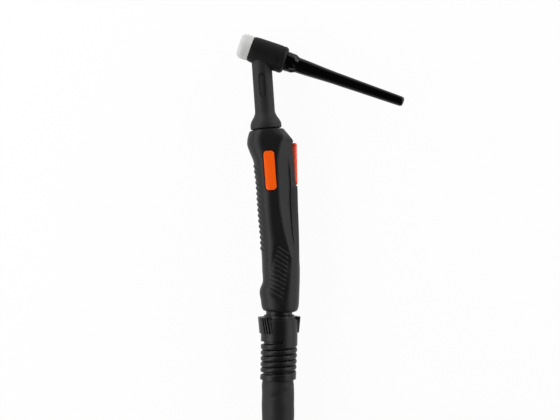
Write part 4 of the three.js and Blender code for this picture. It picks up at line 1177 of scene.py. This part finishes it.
for k, (x, y) in enumerate(SCREWS):
    name = f"handle_screw_{k + 1}"
    head = turned(name, [
        (-7.5, 0.3), (-7.5, 1.3, 0.4), (9.7, 1.5), (9.7, 2.8, 0.2), (10.6, 2.75, 0.5),
        (11.4, 1.9, 0.5), (11.4, 0.3),
    ], (x, y, 0), (0, 0, -1), sides=48)
    cross = [boxed("slot", (-1.5, 1.5), (-0.3, 0.3), (-12, -10.3), math.radians(25 + a), (x, y, 0))
             for a in (0, 90)]
    piece(name, carve(head, cross), "torch", "steel")

# ---------------------------------------------------------------- trigger


def trigger_outline():
    """The lever's side outline, with fine serrations down its outer face."""
    face = [(25.0 + (63.2 - y) * 0.8 / 36.2 - 0.36 * (0.5 - 0.5 * math.cos(
        TAU * (63.2 - y) / 2.3)) ** 0.7, y) for y in np.arange(63.2, 27.4, -0.2875)]
    px, py = TRIGGER_PIVOT
    corners = [(25.8, 27.0, 0.8), (25.5, 25.5, 1.2), (24.4, 25.2, 0.6), (20, 25.2, 1),
               (px, py - 3, 1.6), (px - 2.2, py - 2.2, 1.2), (px - 3, py, 1.4),
               (px - 2.4, py + 2, 1.2), (17, 36, 2), (17.8, 44, 1),
               (17.2, SWITCH_Y - 1.8, 0.6), (15.5, SWITCH_Y - 0.8, 0.3),
               (15.5, SWITCH_Y + 0.8, 0.3), (17.2, SWITCH_Y + 1.8, 0.6), (17.4, 58, 2),
               (17.6, 66.6, 0.8), (22.2, 67.1, 1.6), (24.6, 66.8, 2.4), (25.0, 63.6, 1.2)]
    line = rounded([face[-1], *corners, face[0]], 6)
    return np.array([*face[1:], *line[1:]])


def block_of(name, outline, levels):
    """An outline pulled along z, set in by each level's inset."""
    ahead = unit(np.roll(outline, -1, 0) - np.roll(outline, 1, 0))
    inward = np.stack([ahead[:, 1], -ahead[:, 0]], 1)
    area = np.sum(outline[:, 0] * np.roll(outline[:, 1], -1)
                  - np.roll(outline[:, 0], -1) * outline[:, 1])
    inward *= -1 if area > 0 else 1
    rings = []
    for z, inset in levels:
        flat = outline + inward * inset
        rings.append(np.concatenate([flat, np.full((len(flat), 1), z)], 1))
    return skinned(name, rings)


edge = [(TRIGGER_HALF - TRIGGER_ROUND * (1 - math.sin(a)), TRIGGER_ROUND * (1 - math.cos(a)))
        for a in np.radians(range(90, -1, -9))]
levels = [(-z, inset) for z, inset in edge] + edge[::-1]
lever = block_of("trigger", trigger_outline(), levels)
px, py = TRIGGER_PIVOT
lever = carve(lever, [
    turned("pin_hole", [(-9, 1.55), (9, 1.55)], (px, py, 0), (0, 0, 1), sides=32),
    boxed("spring_slot", (13, px + 3.6), (py - 5, py + 5), (-2.5, 2.5)),
])
piece("trigger", lever, "trigger", "trigger_orange", sharp=38)

# ---------------------------------------------------------------- cable joint and bend relief

BALL_RADIUS = 14.8
SEAT_RADIUS = 15.1
SUPPORT_RADIUS = 18.35
SUPPORT_TAPER = 0.011
SUPPORT_DROOP = 1.2
WINGS_END = -122.7
SLOTS_START, SLOTS_END = -128.8, -165.4
SLOT_DEPTH = 2.9
HELIX_PITCH = 5.7
HELIX_ZERO = -132.5
FIRST_SLOT_END = 0.18  # radians round from straight up
LAST_SLOT_END = -TAU * 5 - 2.2
WING_CENTRES = (-65.0, 115.0)  # degrees round from straight up
WING_GROOVES = (14.0, 22.8, 31.2)
WING_TOP, WING_HEIGHT, WING_REACH = -106.6, 3.0, 21.35
NUT_RIM = [(-106.7, 16.2), (-107.4, 16.4), (-108.1, 16.5), (-108.4, 16.6), (-108.52, 16.95),
           (-108.58, 17.4), (-108.72, 17.8), (-109.0, 18.1), (-109.4, 18.28)]
# Plain rings as (y, radius): the nut's mouth above its rim, then the foot and back up the bore.
NUT_MOUTH = [(-105.4, 13.7), (-104.9, 13.9), (-104.7, 14.3), (-104.8, 14.8), (-105.5, 15.4),
             (-106.2, 15.9)]
FOOT_AND_BORE = [(-168.9, 17.55), (-169.0, 17.1), (-169.0, 14.9), (-168.6, 14.4), (-150, 14.4),
                 (-131, 14.4), (-129, 12.5), (-106.0, 12.5), (-105.6, 13.5)]


def ball_profile(radius, highest, lowest, count):
    """A stretch of a ball's outline, from one height below its middle to another."""
    return [(BALL[1] - h, math.sqrt(radius ** 2 - h ** 2))
            for h in np.linspace(highest, lowest, count)]


turned_piece("ball_joint", [
    (-118.0, 7.0), (-118.0, 12.0), (-104.9, 12.0), (-104.9, 13.1), (-104.6, 13.2),
    *ball_profile(BALL_RADIUS, 6.7, -8, 28), (-84.0, 11.6, 0.5), (-84.0, 7.0), (-118.0, 7.0),
], BALL_LINE, "root", "support_black", sides=128)

seat_line = ball_profile(SEAT_RADIUS, -5.5, 4.3, 20)
turned_piece("ball_seat", [*seat_line, (-97.0, 16.2, 0.3), (-86.5, 16.2, 0.3), seat_line[0]],
             BALL_LINE, "seat", "nylon")


def wing_relief(y, angle):
    """Two wings on the nut, with fins on one edge, that lean and get lower downwards."""
    degrees = np.degrees(angle)
    gone = (WING_TOP - y) / 16.0
    height = WING_HEIGHT - 1.5 * gone
    total = np.zeros_like(y)
    for centre in WING_CENTRES:
        away = np.mod(degrees - centre - 7 * gone + 180, 360) - 180
        mask = swell(away, -34, -30, 34.6, 36.6)
        fins = np.zeros_like(y)
        for place in WING_GROOVES:
            fins = np.maximum(fins, 1 - ease(np.abs(away - place), 0.7, 2.2))
        total = total + mask * height * (1 - 0.8 * fins)
    return total


def slot_depth(y, angle):
    """The spiral slot's depth at a place, the distance from its middle and its half width.

    It is wider near its ends, and shallower at its top with a deeper line round its floor.
    """
    turn = (y - HELIX_ZERO) / HELIX_PITCH - angle / TAU
    whole = np.round(turn)
    wound = angle + TAU * whole
    near_top = ease(wound, -4.2, -2.4)
    near_end = 1 - ease(wound, LAST_SLOT_END + 2.2, LAST_SLOT_END + 4.6)
    off = (turn - whole) * HELIX_PITCH - 1.75 * near_top + 0.3 * near_end
    away = np.abs(off) + 0.12 * (off > 0)
    half_width = 0.75 + 1.05 * near_top + 0.6 * near_end
    past_top = np.maximum(wound - FIRST_SLOT_END, 0) * 18
    past_end = np.maximum(LAST_SLOT_END - wound, 0) * 18
    away = np.hypot(away, np.maximum(past_top, past_end))
    wall = np.where(off > 0, 0.95 - 0.5 * near_top, 0.6 - 0.2 * near_top)
    deep = SLOT_DEPTH - 1.5 * ease(wound, -1.5, -0.7)
    corner = np.exp(-((half_width - away - 0.45) / 0.3) ** 2)
    edge = near_top * (0.5 + 0.9 * ease(off, -1, 0.5)) * corner
    depth = deep * (1 - ease(away, half_width - wall, half_width + 0.1)) + edge
    return depth, away, half_width


def support_radius(y, angle):
    """The nut's and the bend relief's radius, with the rings between the slots rounded."""
    base = SUPPORT_RADIUS - SUPPORT_TAPER * np.maximum(-131.6 - y, 0)
    if y[0] > WINGS_END:
        return base + wing_relief(y, angle)
    if y[0] > SLOTS_START or y[0] < SLOTS_END:
        return base
    depth, away, half_width = slot_depth(y, angle)
    swept = np.clip((HELIX_PITCH / 2 - away) / (HELIX_PITCH / 2 - half_width), 0, 1)
    return base - np.maximum(0.9 * swept ** 2.4, depth)


def support_ring(y, radius_at, sides=300):
    """A ring round the support, whose lower part bends a little towards the handle's front."""
    angle = (np.arange(sides) / sides - 0.5) * TAU
    level = np.full(sides, float(y))
    radius = radius_at(level, angle)
    droop = -SUPPORT_DROOP * max(0, (-127 - y) / (-127 - SUPPORT_END)) ** 1.4
    return np.stack([BALL[0] + droop + radius * np.sin(angle), level, radius * np.cos(angle)], 1)


def plain_ring(y, radius):
    return support_ring(y, lambda at, angle: np.full_like(at, radius))


def rim_ring(y, radius):
    """A ring of the nut's top, which the wings stand up beside."""
    return support_ring(y, lambda at, angle: radius + wing_relief(
        np.minimum(at, WING_TOP), angle) / WING_HEIGHT * (WING_REACH - radius))


support_levels = [*np.arange(-109.9, -122.3, -0.7), -122.4, -122.65, -122.72, -123.2,
                  *np.arange(-124.5, -128.9, -1.0), *np.arange(-129.0, -165.2, -0.25), -166,
                  -167, -168, -168.6]
support_rings = [
    *(plain_ring(*row) for row in NUT_MOUTH),
    *(rim_ring(*row) for row in NUT_RIM),
    *(support_ring(y, support_radius) for y in support_levels),
    *(plain_ring(*row) for row in FOOT_AND_BORE),
]
piece("cable_support", skinned("cable_support", support_rings, looped=True), "root",
      "support_black", sharp=35)

# ---------------------------------------------------------------- pieces kept from the CAD

KEPT = {
    "neck_tube": "copper", "power_coupling": "brass", "inner_power_cable": "cable_rubber",
    "inner_control_lead": "cable_rubber", "cable_core": "cable_rubber", "trigger_pin": "steel",
    "trigger_spring": "steel", "switch_carrier": "nylon", "switch_body": "switch_black",
    "switch_plunger": "nylon",
}
for name, look in KEPT.items():
    kept = frame["nodes"][name]
    kept.data.materials.clear()
    kept.data.materials.append(looks[look])

# ---------------------------------------------------------------- floor and light

FLOOR_SIZE = 8.0
FLOOR_GLOW = 0.95  # how much of the floor's white is its own, with the rest lit and shadowed

floor_look = Nodes(bpy.data.materials.new("floor"))
path = floor_look.add("ShaderNodeLightPath")
seen = path.outputs["Is Camera Ray"]
for ray in ("Is Glossy Ray", "Is Transmission Ray"):
    seen = floor_look.calc("MAXIMUM", seen, path.outputs[ray])
share = floor_look.calc("MULTIPLY", seen, FLOOR_GLOW)
tone = floor_look.noise(floor_look.coords(), 900, 2.0)
floor_look.shade("Base Color", floor_look.shades(tone, (0.93, 0.93, 0.93), (0.96, 0.96, 0.96)))
floor_look.shade("Roughness", 0.85)
floor_look.shade("Specular IOR Level", 0.1)
glow = floor_look.add("ShaderNodeEmission", {"Color": (1, 1, 1, 1), "Strength": 1.0})
both = floor_look.add("ShaderNodeMixShader", {
    0: share, 1: floor_look.shader.outputs["BSDF"], 2: glow.outputs["Emission"]})
surface = floor_look.tree.nodes["Material Output"].inputs["Surface"]
floor_look.put(surface, both.outputs["Shader"])

half = FLOOR_SIZE / 2
floor_mesh = bpy.data.meshes.new("floor")
floor_corners = [(-half, -half, 0), (half, -half, 0), (half, half, 0), (-half, half, 0)]
floor_mesh.from_pydata(floor_corners, [], [(0, 1, 2, 3)])
floor_mesh.materials.append(floor_look.owner)
floor = add_object("floor", floor_mesh)

# Two long softboxes, one on each side, leave the view from above dark, and two small lamps
# beyond the head glint on the edges. Each has its tilt from overhead, its turn from the
# right, its power and its size.
LIGHT_DISTANCE = 1.3
LIGHTS = [
    ("left_softbox", 60.0, 180.0, 19.5, (0.75, 2.2)),
    ("right_softbox", 67.0, 0.0, 14.0, (0.95, 2.2)),
    ("left_glint", 72.0, 122.0, 4.0, (0.35, 0.35)),
    ("right_glint", 78.0, 47.0, 4.0, (0.35, 0.35)),
]
for name, tilt, turn, power, size in LIGHTS:
    data = bpy.data.lights.new(name, "AREA")
    data.shape = "RECTANGLE"
    data.size, data.size_y = size
    data.energy = power
    lamp = bpy.data.objects.new(name, data)
    lean, turn = math.radians(tilt), math.radians(turn)
    lamp.location = (
        LIGHT_DISTANCE * math.sin(lean) * math.cos(turn),
        LIGHT_DISTANCE * math.sin(lean) * math.sin(turn),
        LIGHT_DISTANCE * math.cos(lean) + HALF_DEPTH * MM,
    )
    lamp.rotation_euler = (0, lean, turn)
    bpy.context.scene.collection.objects.link(lamp)

# The world is pale near the horizon and dim overhead: how high each starts, and its strength.
HORIZON, OVERHEAD = (0.06, 0.8), (0.42, 0.05)
sky = Nodes(bpy.data.worlds.new("studio"), "Background")
bpy.context.scene.world = sky.owner
direction = sky.add("ShaderNodeSeparateXYZ", {"Vector": sky.coords("Generated")})
fade = sky.add("ShaderNodeMapRange", {
    "Value": direction.outputs["Z"], "From Min": HORIZON[0], "To Min": HORIZON[1],
    "From Max": OVERHEAD[0], "To Max": OVERHEAD[1],
})
sky.shade("Color", (1, 1, 1, 1))
sky.shade("Strength", fade.outputs["Result"])

bpy.context.scene.view_settings.view_transform = "Standard"
